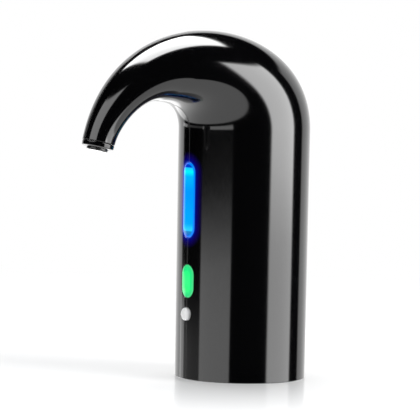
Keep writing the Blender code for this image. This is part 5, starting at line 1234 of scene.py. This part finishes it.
class AERATOR_OT_window(bpy.types.Operator):
    """Lit window and the two push buttons"""
    bl_idname = "aerator.window"
    bl_label = "Window and Buttons"

    def execute(self, context):
        body, lights = settings().body, settings().lights
        half, flange = lights.half_width, lights.flange
        back = span("light_window")[1].y
        front = lights.flange_depth - back
        start = body.radius + 0.2 * MM
        stem = -span("pour_button")[1].y
        wide = [(half + flange - 0.2 * MM, -back), (half + flange, -back + 0.2 * MM),
                (half + flange, front - 0.2 * MM), (half + flange - 0.2 * MM, front)]
        levels = wide + flush(half, front, lights.lens_round, lights.crown)
        middle = (lights.window_low + lights.window_high) / 2
        straight = (lights.window_high - lights.window_low) / 2 - half
        window = pill_piece("window_lens", levels, straight, middle, window_lens())
        hand_in(window, HOUSING, "blue_lens", "light_window")
        window.visible_glossy = False
        middle = (lights.pour_low + lights.pour_high) / 2
        straight = (lights.pour_high - lights.pour_low) / 2 - half
        pour = pill_piece("pour_cap", levels, straight, middle, pour_lens())
        peg = [(0, stem), (1.6 * MM, stem), (1.6 * MM, front), (0, front)]
        upright = Matrix.Translation((0, 0, middle)) @ Matrix.Rotation(pi / 2, 4, "X")
        peg = turned("peg", rounded(peg, 0.15 * MM, 3), pour.data.materials[0], 32, upright)
        hand_in(join(pour, [peg]), "pour_button", "green_lens", "pour_button")
        radius = lights.power_radius
        wide = [(0, stem), (1.6 * MM, stem), (1.6 * MM, -back), (radius + flange, -back),
                (radius + flange, front), (radius, front), (radius, start)]
        crown = dome(radius, front, start, lights.dome_rise, 12, 90.0)[2:-1]
        profile = rounded(wide + crown + [(0, start + lights.dome_rise)], 0.15 * MM, 2)
        upright = Matrix.Translation((0, 0, lights.power_height)) @ Matrix.Rotation(pi / 2, 4, "X")
        power = turned("power_cap", profile, power_finish(), 72, upright)
        hand_in(power, "power_button", "white_cap", "power_button")
        return {"FINISHED"}


# Socket: battery cover, grip ring, stopper, seal

class AERATOR_OT_socket(bpy.types.Operator):
    """Battery cover, ribbed neck grip, stopper and spigot seal"""
    bl_idname = "aerator.socket"
    bl_label = "Bottle Socket"

    def execute(self, context):
        socket = settings().socket
        black, soft = finish("inner_black"), finish("silicone")
        low, high = span("battery_cover")
        outer, inner = high.x, socket.cover_bore
        top, rim_top = low.z + 2.0 * MM, low.z + 3.4 * MM
        profile = [(inner, low.z), (outer, low.z), (outer, rim_top), (outer - 1.1 * MM, rim_top),
                   (outer - 1.1 * MM, top), (inner, top)]
        cover = turned("battery_lid", rounded(profile, 0.3 * MM, 5), black, 192)
        spot = facing(socket.notch_azimuth) * (outer + 0.45 * MM)
        reach = socket.notch_radius
        notch = [(0, low.z - MM), (reach, low.z - MM), (reach, rim_top + MM), (0, rim_top + MM)]
        cut_out(cover, [turned("notch", notch, black, 64, Matrix.Translation(spot))])
        soften(cover)
        posts = []
        for turn in (0, pi):
            ends = (turn - radians(8.0), turn + radians(8.0))
            posts.append(arc_strip("post", 25.8 * MM, 27.4 * MM, *ends, top - MM, high.z, black, 0.25 * MM))
        hand_in(join(cover, posts), "battery_cover", "inner_black", "battery_cover")
        low, high = span("neck_grip")
        outer, bore = high.x, high.x - socket.grip_thickness
        pitch = (high.z - low.z) / socket.grip_ribs
        profile = [(outer, low.z), (outer, high.z)]
        for index in range(socket.grip_ribs):
            for step in range(9):
                share = step / 8
                height = high.z - (index + share) * pitch
                profile.append((bore + socket.grip_groove * (1 - sin(pi * share)), height))
        grip = turned("bottle_grip", profile, soft, 192, None, 60.0)
        hand_in(grip, HOUSING, "silicone", "neck_grip")
        low, high = span("stopper")
        flange_low, neck_high = high.z - 3.0 * MM, low.z + 6.0 * MM
        floor = high.z - 7.0 * MM
        profile = [(1.5 * MM, low.z), (2.6 * MM, low.z), (2.6 * MM, neck_high), (8.5 * MM, neck_high),
                   (10.0 * MM, flange_low), (high.x, flange_low), (high.x, high.z), (5.4 * MM, high.z),
                   (5.4 * MM, floor), (1.5 * MM, floor)]
        stopper = turned("bottle_stopper", rounded(profile, 0.5 * MM, 6), soft, 128)
        hand_in(stopper, "stopper", "silicone", "stopper")
        low, high = span("spigot_seal")
        radius = (high.z - low.z) / 2
        seal = seal_ring("spigot_packing", high.x - radius, radius, low.z + radius)
        hand_in(seal, HOUSING, "dark_rubber", "spigot_seal")
        return {"FINISHED"}


def facing(azimuth):
    """Level direction at an azimuth from the front, towards +X."""
    return Vector((sin(azimuth), -cos(azimuth), 0))


def arc_strip(name, inner, outer, start, end, low, high, material, edge=0.0, steps=24):
    """A flat strip bent round Z, with bevelled edges."""
    shape = bmesh.new()
    loops = []
    for step in range(steps + 1):
        ahead = facing(start + (end - start) * step / steps)
        corners = ((inner, low), (outer, low), (outer, high), (inner, high))
        loops.append([shape.verts.new((*(ahead * radius).xy, height)) for radius, height in corners])
    for first, second in zip(loops, loops[1:]):
        for index in range(4):
            after = (index + 1) % 4
            shape.faces.new((first[index], first[after], second[after], second[index]))
    shape.faces.new(loops[0])
    shape.faces.new(loops[-1])
    bmesh.ops.recalc_face_normals(shape, faces=shape.faces)
    if edge > 0:
        sharp = [item for item in shape.edges if item.calc_face_angle(0) > radians(60)]
        bmesh.ops.bevel(shape, geom=sharp, offset=edge, segments=3, affect="EDGES", profile=0.5)
    return finish_mesh(name, shape, material)


# Hoses, leads and springs

def tube_tree():
    """Rings of a set number of sides, one for each point of a route table, closed at both ends."""
    wiring = Wiring("tube_sweep", (
        ("Route", "NodeSocketObject", None), ("Sides", "NodeSocketInt", 24),
        ("Material", "NodeSocketMaterial", None),
    ))
    start = wiring.start
    route = wiring.node("GeometryNodeObjectInfo", {"Object": start["Route"]}).outputs["Geometry"]
    rings = wiring.node("GeometryNodeAttributeDomainSize", {"Geometry": route}).outputs["Point Count"]
    columns = wiring.math("ADD", start["Sides"], 1.0)
    grid = wiring.node("GeometryNodeMeshGrid", {"Vertices X": rings, "Vertices Y": columns}).outputs["Mesh"]
    index = wiring.node("GeometryNodeInputIndex").outputs[0]
    row = wiring.math("FLOOR", wiring.math("DIVIDE", wiring.math("ADD", index, 0.5), columns))
    column = wiring.math("SUBTRACT", index, wiring.math("MULTIPLY", row, columns))
    turn = wiring.math("MULTIPLY", wiring.math("DIVIDE", column, start["Sides"]), 2 * pi)
    centre = wiring.sample(route, wiring.node("GeometryNodeInputPosition").outputs[0], row, "FLOAT_VECTOR")
    across = wiring.sample(route, wiring.attribute("across", "FLOAT_VECTOR"), row, "FLOAT_VECTOR")
    upright = wiring.sample(route, wiring.attribute("upright", "FLOAT_VECTOR"), row, "FLOAT_VECTOR")
    radius = wiring.sample(route, wiring.attribute("radius"), row)
    first = wiring.scale(across, wiring.math("MULTIPLY", radius, wiring.math("COSINE", turn)))
    second = wiring.scale(upright, wiring.math("MULTIPLY", radius, wiring.math("SINE", turn)))
    spot = wiring.add(wiring.add(centre, first), second)
    placed = wiring.node("GeometryNodeSetPosition", {"Geometry": grid, "Position": spot}).outputs[0]
    joined = wiring.node("GeometryNodeMergeByDistance", {"Geometry": placed, "Distance": 0.5e-6}).outputs[0]
    wiring.close(joined, start["Material"])
    return wiring


def smooth_route(points, steps):
    """More points along a smooth curve through the given ones."""
    result = []
    count = len(points)
    for index in range(count - 1):
        before, here = points[max(index - 1, 0)], points[index]
        after, later = points[index + 1], points[min(index + 2, count - 1)]
        for step in range(steps):
            share = step / steps
            square, cube = share * share, share ** 3
            result.append((here * 2 + (after - before) * share + (before * 2 - here * 5 + after * 4 - later) * square
                           + (here * 3 - before - after * 3 + later) * cube) / 2)
    result.append(points[-1])
    return result


def tube(name, wiring, points, radius, material, bore=0.0, sides=24):
    """A lead, or a hose where it has a bore, along a route."""
    frames = []
    leaving = (points[1] - points[0]).normalized()
    side = Vector((1, 0, 0)) if abs(leaving.x) < 0.9 else Vector((0, 0, 1))
    for index, point in enumerate(points):
        ahead = (points[min(index + 1, len(points) - 1)] - points[max(index - 1, 0)]).normalized()
        side = (side - ahead * side.dot(ahead)).normalized()
        frames.append((point, side.copy(), ahead.cross(side)))
    rows = [(*frame, radius) for frame in frames]
    if bore > 0:
        rows += [(*frame, bore) for frame in reversed(frames)]
        rows.append(rows[0])
    else:
        rows = [(*frames[0], 0.0)] + rows + [(*frames[-1], 0.0)]
    spots, across, upright, radii = zip(*rows)
    route = table_mesh(name + "_route", spots, across=across, upright=upright, radius=radii)
    piece = grow(name, wiring, {"Route": route, "Sides": sides, "Material": material}, 60.0)
    bpy.data.objects.remove(route, do_unlink=True)
    turn_outwards(piece)
    return piece


def turn_outwards(piece):
    shape = bmesh.new()
    shape.from_mesh(piece.data)
    bmesh.ops.recalc_face_normals(shape, faces=shape.faces)
    shape.to_mesh(piece.data)
    shape.free()


def arch_route(start_side, end_side):
    """From the manifold up the barrel, over the arch and down to the nozzle's collar."""
    hoses, body, nozzle = settings().hoses, settings().body, settings().nozzle
    outline = Outline()
    low, barrel = hoses.manifold_top + 0.3 * MM, 5
    line = [Vector((0, 0, low + (body.straight_top - low) * index / barrel)) for index in range(barrel)]
    line += [outline.arch(0.86 * index / 14)[0] for index in range(15)]
    for rise in (3.0 * MM, 0):
        line.append(tip_frame() @ Vector((0, 0, nozzle.insert_depth + 0.3 * MM + rise)))
    path = []
    for index, point in enumerate(line):
        share = min(1, index / barrel)
        ease = share * share * (3 - 2 * share)
        side = start_side + (end_side - start_side) * ease
        path.append(point + Vector((side, -hoses.forward * (1 - ease), 0)))
    return path


class AERATOR_OT_hoses(bpy.types.Operator):
    """Clear wine and air hoses and the four thin leads"""
    bl_idname = "aerator.hoses"
    bl_label = "Hoses and Leads"

    def execute(self, context):
        hoses = settings().hoses
        wiring = tube_tree()
        clear = finish("clear_hose")
        wine = smooth_route(arch_route(0, hoses.wine_side), 5)
        piece = tube("wine_tube", wiring, wine, hoses.wine_radius, clear, hoses.wine_bore, 32)
        hand_in(piece, HOUSING, "clear_hose", "wine_hose")
        air = smooth_route(arch_route(-hoses.air_start, -hoses.air_side), 5)
        piece = tube("aeration_tube", wiring, air, hoses.air_radius, clear, hoses.air_bore)
        hand_in(piece, HOUSING, "clear_hose", "aeration_hose")
        run, loop = Vector((hoses.barb, 0, 0)), Vector((hoses.loop_handle, 0, 0))
        pump_y = pump_axis().translation.y
        start = Vector((span("motor_can")[1].x + 0.3 * MM, pump_y, span("pump_head")[1].z - 2.0 * MM))
        end = Vector((8.3 * MM, -hoses.forward, hoses.manifold_top - hoses.air_radius))
        bend = (start + run, start + run + loop, end + run + loop, end + run)
        path = [start] + [bezier(bend, step / 40) for step in range(41)] + [end]
        piece = tube("pump_tube", wiring, path, hoses.air_radius, clear, hoses.air_bore)
        hand_in(piece, HOUSING, "clear_hose", "pump_air_hose")
        up, back, board = Vector((0, 0, 1)), Vector((0, 1, 0)), span("main_board")[1].y
        for side, hand, slot in ((1, "right", "red_lead"), (-1, "left", "black_lead")):
            across = Vector((side, 0, 0))
            low, high = span("battery_1" if side > 0 else "battery_4")
            start = (low + high) / 2
            start.z = high.z + 1.0 * MM
            end = Vector((side * 5.0 * MM, board + 0.3 * MM, 62.0 * MM))
            points = lead_points(start, up, end, back, 12.0 * MM)
            piece = tube(f"cell_wire_{hand}", wiring, points, hoses.lead_radius, finish(slot), 0.0, 16)
            hand_in(piece, HOUSING, slot, f"battery_lead_{hand}")
            start = Vector((side * 6.0 * MM, pump_y, span("motor_end_cap")[1].z + 0.9 * MM))
            end = Vector((side * 5.5 * MM, board + 0.9 * MM, 97.0 * MM))
            points = lead_points(start, (up + across).normalized(), end, (back + across).normalized(), 14.0 * MM)
            piece = tube(f"motor_wire_{hand}", wiring, points, hoses.lead_radius, finish(slot), 0.0, 16)
            hand_in(piece, HOUSING, slot, f"motor_lead_{hand}")
        return {"FINISHED"}


def lead_points(start, start_way, end, end_way, handle):
    handles = (start, start + start_way * handle, end + end_way * handle, end)
    return [bezier(handles, step / 48) for step in range(49)]


class AERATOR_OT_cells(bpy.types.Operator):
    """Six cells and the sprung contacts under them"""
    bl_idname = "aerator.cells"
    bl_label = "Cells and Contacts"

    def execute(self, context):
        cells = settings().cells
        jacket, bright, strip = finish("cell_jacket"), finish("steel"), finish("spring_steel")
        wiring = tube_tree()
        for number in range(1, 7):
            low, high = span(f"battery_{number}")
            middle, radius = (low + high) / 2, (high.x - low.x) / 2
            length = high.z - low.z
            profile = [(0, 0), (radius - 1.2 * MM, 0), (radius - 1.2 * MM, 0.35 * MM), (radius - 0.5 * MM, 0.35 * MM),
                       (radius, 0.8 * MM), (radius, length - 1.6 * MM), (radius - 0.5 * MM, length - 0.8 * MM),
                       (radius - 1.4 * MM, length - 0.8 * MM), (radius - 1.4 * MM, length - 1.1 * MM),
                       (2.4 * MM, length - 1.1 * MM), (2.4 * MM, length), (0, length)]
            place = Matrix.Translation((middle.x, middle.y, low.z))
            if number in (1, 3, 5):
                place = Matrix.Translation((middle.x, middle.y, high.z)) @ Matrix.Rotation(pi, 4, "X")
            cell = turned(f"cell_{number}", rounded(profile, 0.2 * MM, 3), jacket, 72, place)
            cell.data.materials.append(bright)
            inner = radius - 1.25 * MM
            for face in cell.data.polygons:
                centre = face.center - middle
                if centre.xy.length < inner and abs(centre.z) > length / 2 - 1.3 * MM:
                    face.material_index = 1
            hand_in(cell, HOUSING, "cell_jacket", f"battery_{number}")
        low, high = span("lower_contact_right")
        inner, outer = cells.ring - cells.strip / 2, cells.ring + cells.strip / 2
        first, middle, last = (cells.middle_azimuth + step * cells.pitch for step in (-1, 0, 1))
        end = radians(8.0)
        runs = (("right", first - end, middle + end, (first, middle)),
                ("left", -middle - end, -first + end, (-middle, -first)),
                ("rear", last - end, 2 * pi - last + end, (last, -last)))
        for hand, begin, finish_at, turns in runs:
            plate = arc_strip(f"sprung_strip_{hand}", inner, outer, begin, finish_at, low.z, low.z + 0.4 * MM,
                              strip, 0.08 * MM, 48)
            coils = [spring(wiring, facing(turn) * cells.ring, low.z + 0.5 * MM, strip) for turn in turns]
            hand_in(join(plate, coils), "battery_cover", "spring_steel", f"lower_contact_{hand}")
        return {"FINISHED"}


def spring(wiring, spot, height, material, rounds=3):
    """A conical coil that stands on a contact strip."""
    points = []
    for step in range(rounds * 24 + 1):
        share = step / (rounds * 24)
        turn = 2 * pi * rounds * share
        reach = (2.0 - 0.9 * share) * MM
        points.append(spot + Vector((reach * cos(turn), reach * sin(turn), height + 0.85 * MM * share)))
    return tube("contact_spring", wiring, points, 0.14 * MM, material, 0.0, 10)


# Air pump's rubber pieces

def pump_axis():
    """Zero on the floor, +Z up the motor's axis."""
    low, high = span("motor_can")
    return Matrix.Translation(((low.x + high.x) / 2, (low.y + high.y) / 2, 0))


def rounded_block(name, low, high, material, edge):
    shape = bmesh.new()
    bmesh.ops.create_cube(shape, size=1.0)
    size, middle = Vector(high) - Vector(low), (Vector(high) + Vector(low)) / 2
    bmesh.ops.scale(shape, vec=size, verts=shape.verts)
    bmesh.ops.translate(shape, vec=middle, verts=shape.verts)
    bmesh.ops.bevel(shape, geom=shape.edges[:], offset=edge, segments=3, affect="EDGES", profile=0.5)
    return finish_mesh(name, shape, material)


class AERATOR_OT_pump(bpy.types.Operator):
    """Rubber cup and diaphragm of the air pump"""
    bl_idname = "aerator.pump"
    bl_label = "Pump Rubbers"

    def execute(self, context):
        pump = settings().pump
        rubber, axis = finish("dark_rubber"), pump_axis()
        low, high = span("pump_cup")
        radius = high.x
        foot = span("pump_head")[0].z - pump.cup_floor - pump.seat
        rim, floor = foot + pump.cup_height, foot + pump.cup_floor
        profile = [(0, foot), (radius, foot), (radius, rim), (radius - pump.cup_wall, rim),
                   (radius - pump.cup_wall, floor), (0, floor)]
        cup = turned("motor_cup", rounded(profile, 0.3 * MM, 4), rubber, 96, axis)
        near = (-pump.pedestal, pump.pedestal_front, low.z)
        far = (pump.pedestal, axis.translation.y + pump.pedestal, (foot + floor) / 2)
        hand_in(join(cup, [rounded_block("pedestal", near, far, rubber, 0.5 * MM)]), HOUSING, "dark_rubber",
                "pump_cup")
        low, high = span("diaphragm")
        radius, sheet = span("motor_can")[1].x, low.z + pump.sheet
        profile = [(0, low.z), (radius, low.z), (radius, sheet), (radius - 1.2 * MM, sheet),
                   (radius - 1.6 * MM, sheet - 0.25 * MM), (0, sheet - 0.25 * MM)]
        disc = turned("pump_membrane", rounded(profile, 0.2 * MM, 3), rubber, 96, axis)
        extras = []
        wide, narrow, top = pump.bell_radius, pump.bell_top_radius, high.z
        for index in range(pump.bells):
            bell = [(0, low.z + 0.3 * MM), (wide, low.z + 0.3 * MM), (wide, sheet + 0.6 * MM),
                    (narrow + 0.2 * MM, top - 0.7 * MM), (narrow, top), (0.9 * MM, top), (0.7 * MM, top - 0.3 * MM),
                    (0, top - 0.3 * MM)]
            spot = axis @ Matrix.Translation(facing(2 * pi * index / pump.bells) * pump.bell_ring)
            extras.append(turned("bell", rounded(bell, 0.3 * MM, 4), rubber, 48, spot))
        eye, lug = pump.lug_hole, pump.lug_radius
        for side in (1, -1):
            ear = [(eye, low.z), (lug, low.z), (lug, sheet), (eye, sheet)]
            spot = axis @ Matrix.Translation(facing(side * pump.lug_azimuth) * pump.lug_ring)
            extras.append(turned("ear", rounded(ear, 0.15 * MM, 3), rubber, 40, spot))
        hand_in(join(disc, extras), HOUSING, "dark_rubber", "diaphragm")
        return {"FINISHED"}


# Pieces kept from the frame

class AERATOR_OT_inside(bpy.types.Operator):
    """Finishes for every frame piece that keeps its shape"""
    bl_idname = "aerator.inside"
    bl_label = "Inner Pieces"

    def execute(self, context):
        for holder in FRAME["nodes"].values():
            for slot in holder.material_slots:
                slot.material = finish(slot.material.name.split(".")[0])
        return {"FINISHED"}


# Stage

class AERATOR_OT_studio(bpy.types.Operator):
    """Pale floor, lamps, reflecting cards round the object and the camera"""
    bl_idname = "aerator.studio"
    bl_label = "Studio"

    def execute(self, context):
        scene = context.scene
        scene.view_settings.view_transform = "Standard"
        set_camera(scene)
        set_world(scene)
        lay_floor()
        hang_cards()
        hang_lamps()
        return {"FINISHED"}


def set_camera(scene):
    studio = settings().studio
    data = bpy.data.cameras.new("studio_camera")
    data.sensor_width = 36.0
    data.lens = studio.lens
    data.clip_start, data.clip_end = 0.01, 20.0
    camera = bpy.data.objects.new("studio_camera", data)
    scene.collection.objects.link(camera)
    turn = studio.azimuth
    place = Vector((studio.distance * sin(turn), -studio.distance * cos(turn), studio.height))
    aim = Vector((cos(turn), sin(turn), 0)) * studio.aim_side + Vector((0, 0, studio.aim_height))
    ahead = (aim - place).normalized()
    level = ahead.cross(Vector((0, 0, 1))).normalized()
    upright = level.cross(ahead)
    right = level * cos(studio.roll) + upright * sin(studio.roll)
    up = upright * cos(studio.roll) - level * sin(studio.roll)
    turned_to = Matrix((right, up, -ahead)).transposed()
    camera.matrix_world = Matrix.Translation(place) @ turned_to.to_4x4()
    scene.camera = camera


def seen_directly(tree):
    """One for camera, glossy and transmission rays, zero for the rest."""
    path = tree.nodes.new("ShaderNodeLightPath")
    total = path.outputs["Is Camera Ray"]
    for kind in ("Is Glossy Ray", "Is Transmission Ray"):
        either = tree.nodes.new("ShaderNodeMath")
        either.operation = "MAXIMUM"
        tree.links.new(total, either.inputs[0])
        tree.links.new(path.outputs[kind], either.inputs[1])
        total = either.outputs[0]
    return total


def set_world(scene):
    """White backdrop for the camera, metal and glass; a soft fill for everything else."""
    world = bpy.data.worlds.new("studio_world")
    world.use_nodes = True
    tree = world.node_tree
    shown = tree.nodes["Background"]
    shown.inputs["Color"].default_value = (1.0, 1.0, 1.0, 1.0)
    fill = tree.nodes.new("ShaderNodeBackground")
    fill.inputs["Color"].default_value = (0.95, 0.97, 1.0, 1.0)
    fill.inputs["Strength"].default_value = settings().studio.fill
    mix = tree.nodes.new("ShaderNodeMixShader")
    tree.links.new(seen_directly(tree), mix.inputs["Fac"])
    tree.links.new(fill.outputs[0], mix.inputs[1])
    tree.links.new(shown.outputs[0], mix.inputs[2])
    tree.links.new(mix.outputs[0], tree.nodes["World Output"].inputs["Surface"])
    scene.world = world


def lay_floor():
    """Pale gloss floor that keeps the object's shadow and fades to white before its edge."""
    studio = settings().studio
    shader = Shader("studio_floor", tuple(studio.floor_colour), 0.6)
    tree = shader.tree
    speckle = shader.noise(60.0, 2.0, 0.5)
    base = tuple(studio.floor_colour)
    shader.put("Base Color", shader.blend(speckle, base, tuple(value * 0.985 for value in base)))
    seen = seen_directly(tree)
    lift = shader.node("ShaderNodeEmission", {"Strength": shader.math("MULTIPLY", seen, studio.floor_lift)})
    lit = shader.node("ShaderNodeAddShader", {0: shader.surface.outputs[0], 1: lift.outputs[0]})
    polish = shader.node("ShaderNodeBsdfGlossy", {"Roughness": 0.07})
    distance = shader.node("ShaderNodeVectorMath", {0: shader.object_place()}, operation="LENGTH").outputs["Value"]
    mirror = shader.spread(distance, settings().body.radius, studio.mirror_reach, studio.floor_polish, 0.0)
    gloss = shader.node("ShaderNodeMixShader", {0: mirror, 1: lit.outputs[0], 2: polish.outputs[0]})
    fade = shader.spread(distance, studio.floor_reach * 0.16, studio.floor_reach * 0.5, 0.0, 1.0)
    white = shader.node("ShaderNodeEmission", {"Strength": seen})
    whole = shader.node("ShaderNodeMixShader", {0: fade, 1: gloss.outputs[0], 2: white.outputs[0]})
    tree.links.new(whole.outputs[0], tree.nodes["Material Output"].inputs["Surface"])
    shader.put("Specular IOR Level", 0.0)
    shape = bmesh.new()
    bmesh.ops.create_circle(shape, cap_ends=True, segments=128, radius=studio.floor_reach)
    floor = finish_mesh("studio_floor", shape, shader.material)
    floor.visible_glossy = False


# Reflecting cards: middle azimuth, half width, lower and upper edge, softness (all degrees), strength
CARDS = (
    ("right_softbox", 128.0, 24.5, -18.0, 44.0, 5.0, 5.4),
    ("right_softbox_upper", 128.0, 23.0, -2.5, 42.0, 3.0, 4.6),
    ("low_card", 7.5, 29.0, -10.6, -3.6, 2.4, 2.4),
    ("low_side_card", -43.0, 22.0, -10.6, -5.7, 1.2, 0.45),
    ("low_front_card", -71.0, 7.0, -10.6, -5.0, 1.6, 1.8),
    ("spout_softbox", 14.0, 26.0, 12.0, 43.0, 4.0, 3.8),
    ("backdrop", 231.0, 54.0, -30.0, 32.0, 5.0, 1.25),
    ("pale_table", 0.0, 400.0, -95.0, -17.0, 3.0, 1.8),
)


def hang_cards():
    """A dark tent, seen only in reflections, with soft-edged cards and an overhead softbox on it."""
    studio = settings().studio
    shader = Shader("studio_tent", (0.0, 0.0, 0.0), 1.0)
    tree = shader.tree
    place = shader.object_place()
    away = shader.node("ShaderNodeVectorMath", {0: place}, operation="NORMALIZE").outputs[0]
    rise = shader.node("ShaderNodeSeparateXYZ", {"Vector": away}).outputs["Z"]
    height = shader.math("MULTIPLY", shader.math("ARCSINE", rise), 180.0 / pi)
    total = 0.0
    for name, azimuth, half_width, low, high, soft, strength in CARDS:
        turn = radians(azimuth)
        values = {0: place, 1: (cos(turn), sin(turn), 0.0)}
        side = shader.node("ShaderNodeVectorMath", values, operation="DOT_PRODUCT").outputs["Value"]
        values = {0: place, 1: (sin(turn), -cos(turn), 0.0)}
        ahead = shader.node("ShaderNodeVectorMath", values, operation="DOT_PRODUCT").outputs["Value"]
        offset = shader.math("MULTIPLY", shader.math("ABSOLUTE", shader.math("ARCTAN2", side, ahead)), 180.0 / pi)
        share = shader.edge(offset, half_width + soft / 2, half_width - soft / 2)
        share = shader.math("MULTIPLY", share, shader.edge(height, low - soft / 2, low + soft / 2))
        share = shader.math("MULTIPLY", share, shader.edge(height, high + soft / 2, high - soft / 2))
        total = shader.math("ADD", total, shader.math("MULTIPLY", share, strength))
    parts = shader.node("ShaderNodeSeparateXYZ", {"Vector": away})
    above = shader.math("MAXIMUM", parts.outputs["Z"], 0.02)
    share = shader.math("GREATER_THAN", parts.outputs["Z"], 0.02)
    for axis, low, high in (("X", -0.88, 0.0), ("Y", -0.27, 0.5)):
        across = shader.math("DIVIDE", parts.outputs[axis], above)
        share = shader.math("MULTIPLY", share, shader.edge(across, low - 0.04, low + 0.04))
        share = shader.math("MULTIPLY", share, shader.edge(across, high + 0.04, high - 0.04))
    total = shader.math("ADD", total, shader.math("MULTIPLY", share, studio.overhead))
    glow = shader.node("ShaderNodeEmission", {"Strength": total})
    tree.links.new(glow.outputs[0], tree.nodes["Material Output"].inputs["Surface"])
    shader.material.cycles.emission_sampling = "NONE"
    shape = bmesh.new()
    bmesh.ops.create_uvsphere(shape, u_segments=96, v_segments=48, radius=6.0)
    tent = finish_mesh("studio_tent", shape, shader.material, 180.0)
    tent.visible_camera = False
    tent.visible_diffuse = False
    tent.visible_transmission = False
    tent.visible_volume_scatter = False
    tent.visible_shadow = False


def lamp(name, place, aim, size, power):
    """Soft rectangular lamp for the diffuse light alone; the cards make its reflection."""
    data = bpy.data.lights.new(name, "AREA")
    data.shape = "RECTANGLE"
    data.size, data.size_y = size
    data.energy = power
    light = bpy.data.objects.new(name, data)
    bpy.context.scene.collection.objects.link(light)
    light.location = place
    light.rotation_euler = (Vector(aim) - Vector(place)).to_track_quat("-Z", "Y").to_euler()
    light.visible_glossy = False
    return light


def hang_lamps():
    studio = settings().studio
    lamp("key_softbox", (0.85, 0.55, 0.55), (0, 0, 0.08), (0.6, 0.9), studio.key_power)
    lamp("top_softbox", (-0.35, 0.1, 1.1), (0, -0.03, 0.1), (0.9, 0.8), studio.top_power)
    lamp("front_softbox", (0.25, -1.1, 0.5), (0, 0, 0.08), (0.9, 0.6), studio.front_power)


class AERATOR_PT_panel(bpy.types.Panel):
    """Builds each group of pieces and shows its sizes"""
    bl_idname = "AERATOR_PT_panel"
    bl_label = "Aerator"
    bl_space_type = "VIEW_3D"
    bl_region_type = "UI"
    bl_category = "Aerator"

    def draw(self, context):
        groups = context.scene.aerator
        for name in PARTS:
            box = self.layout.box()
            for key in getattr(groups, name).__annotations__:
                box.prop(getattr(groups, name), key)
        for operator in OPERATORS:
            self.layout.operator(operator.bl_idname)


class AeratorSettings(bpy.types.PropertyGroup):
    """All groups of settings."""
    body: PointerProperty(type=BodySettings)
    nozzle: PointerProperty(type=NozzleSettings)
    lights: PointerProperty(type=LightSettings)
    socket: PointerProperty(type=SocketSettings)
    hoses: PointerProperty(type=HoseSettings)
    cells: PointerProperty(type=CellSettings)
    pump: PointerProperty(type=PumpSettings)
    studio: PointerProperty(type=StudioSettings)


OPERATORS = (
    AERATOR_OT_body, AERATOR_OT_nozzle, AERATOR_OT_window, AERATOR_OT_socket, AERATOR_OT_hoses, AERATOR_OT_cells,
    AERATOR_OT_pump, AERATOR_OT_inside, AERATOR_OT_studio,
)
CLASSES = (*PARTS.values(), AeratorSettings, *OPERATORS, AERATOR_PT_panel)


def register():
    for cls in CLASSES:
        bpy.utils.register_class(cls)
    bpy.types.Scene.aerator = PointerProperty(type=AeratorSettings)


def unregister():
    del bpy.types.Scene.aerator
    for cls in reversed(CLASSES):
        bpy.utils.unregister_class(cls)


def main():
    register()
    bpy.ops.aerator.body()
    bpy.ops.aerator.nozzle()
    bpy.ops.aerator.window()
    bpy.ops.aerator.socket()
    bpy.ops.aerator.hoses()
    bpy.ops.aerator.cells()
    bpy.ops.aerator.pump()
    bpy.ops.aerator.inside()
    bpy.ops.aerator.studio()


if __name__ == "__main__":
    main()
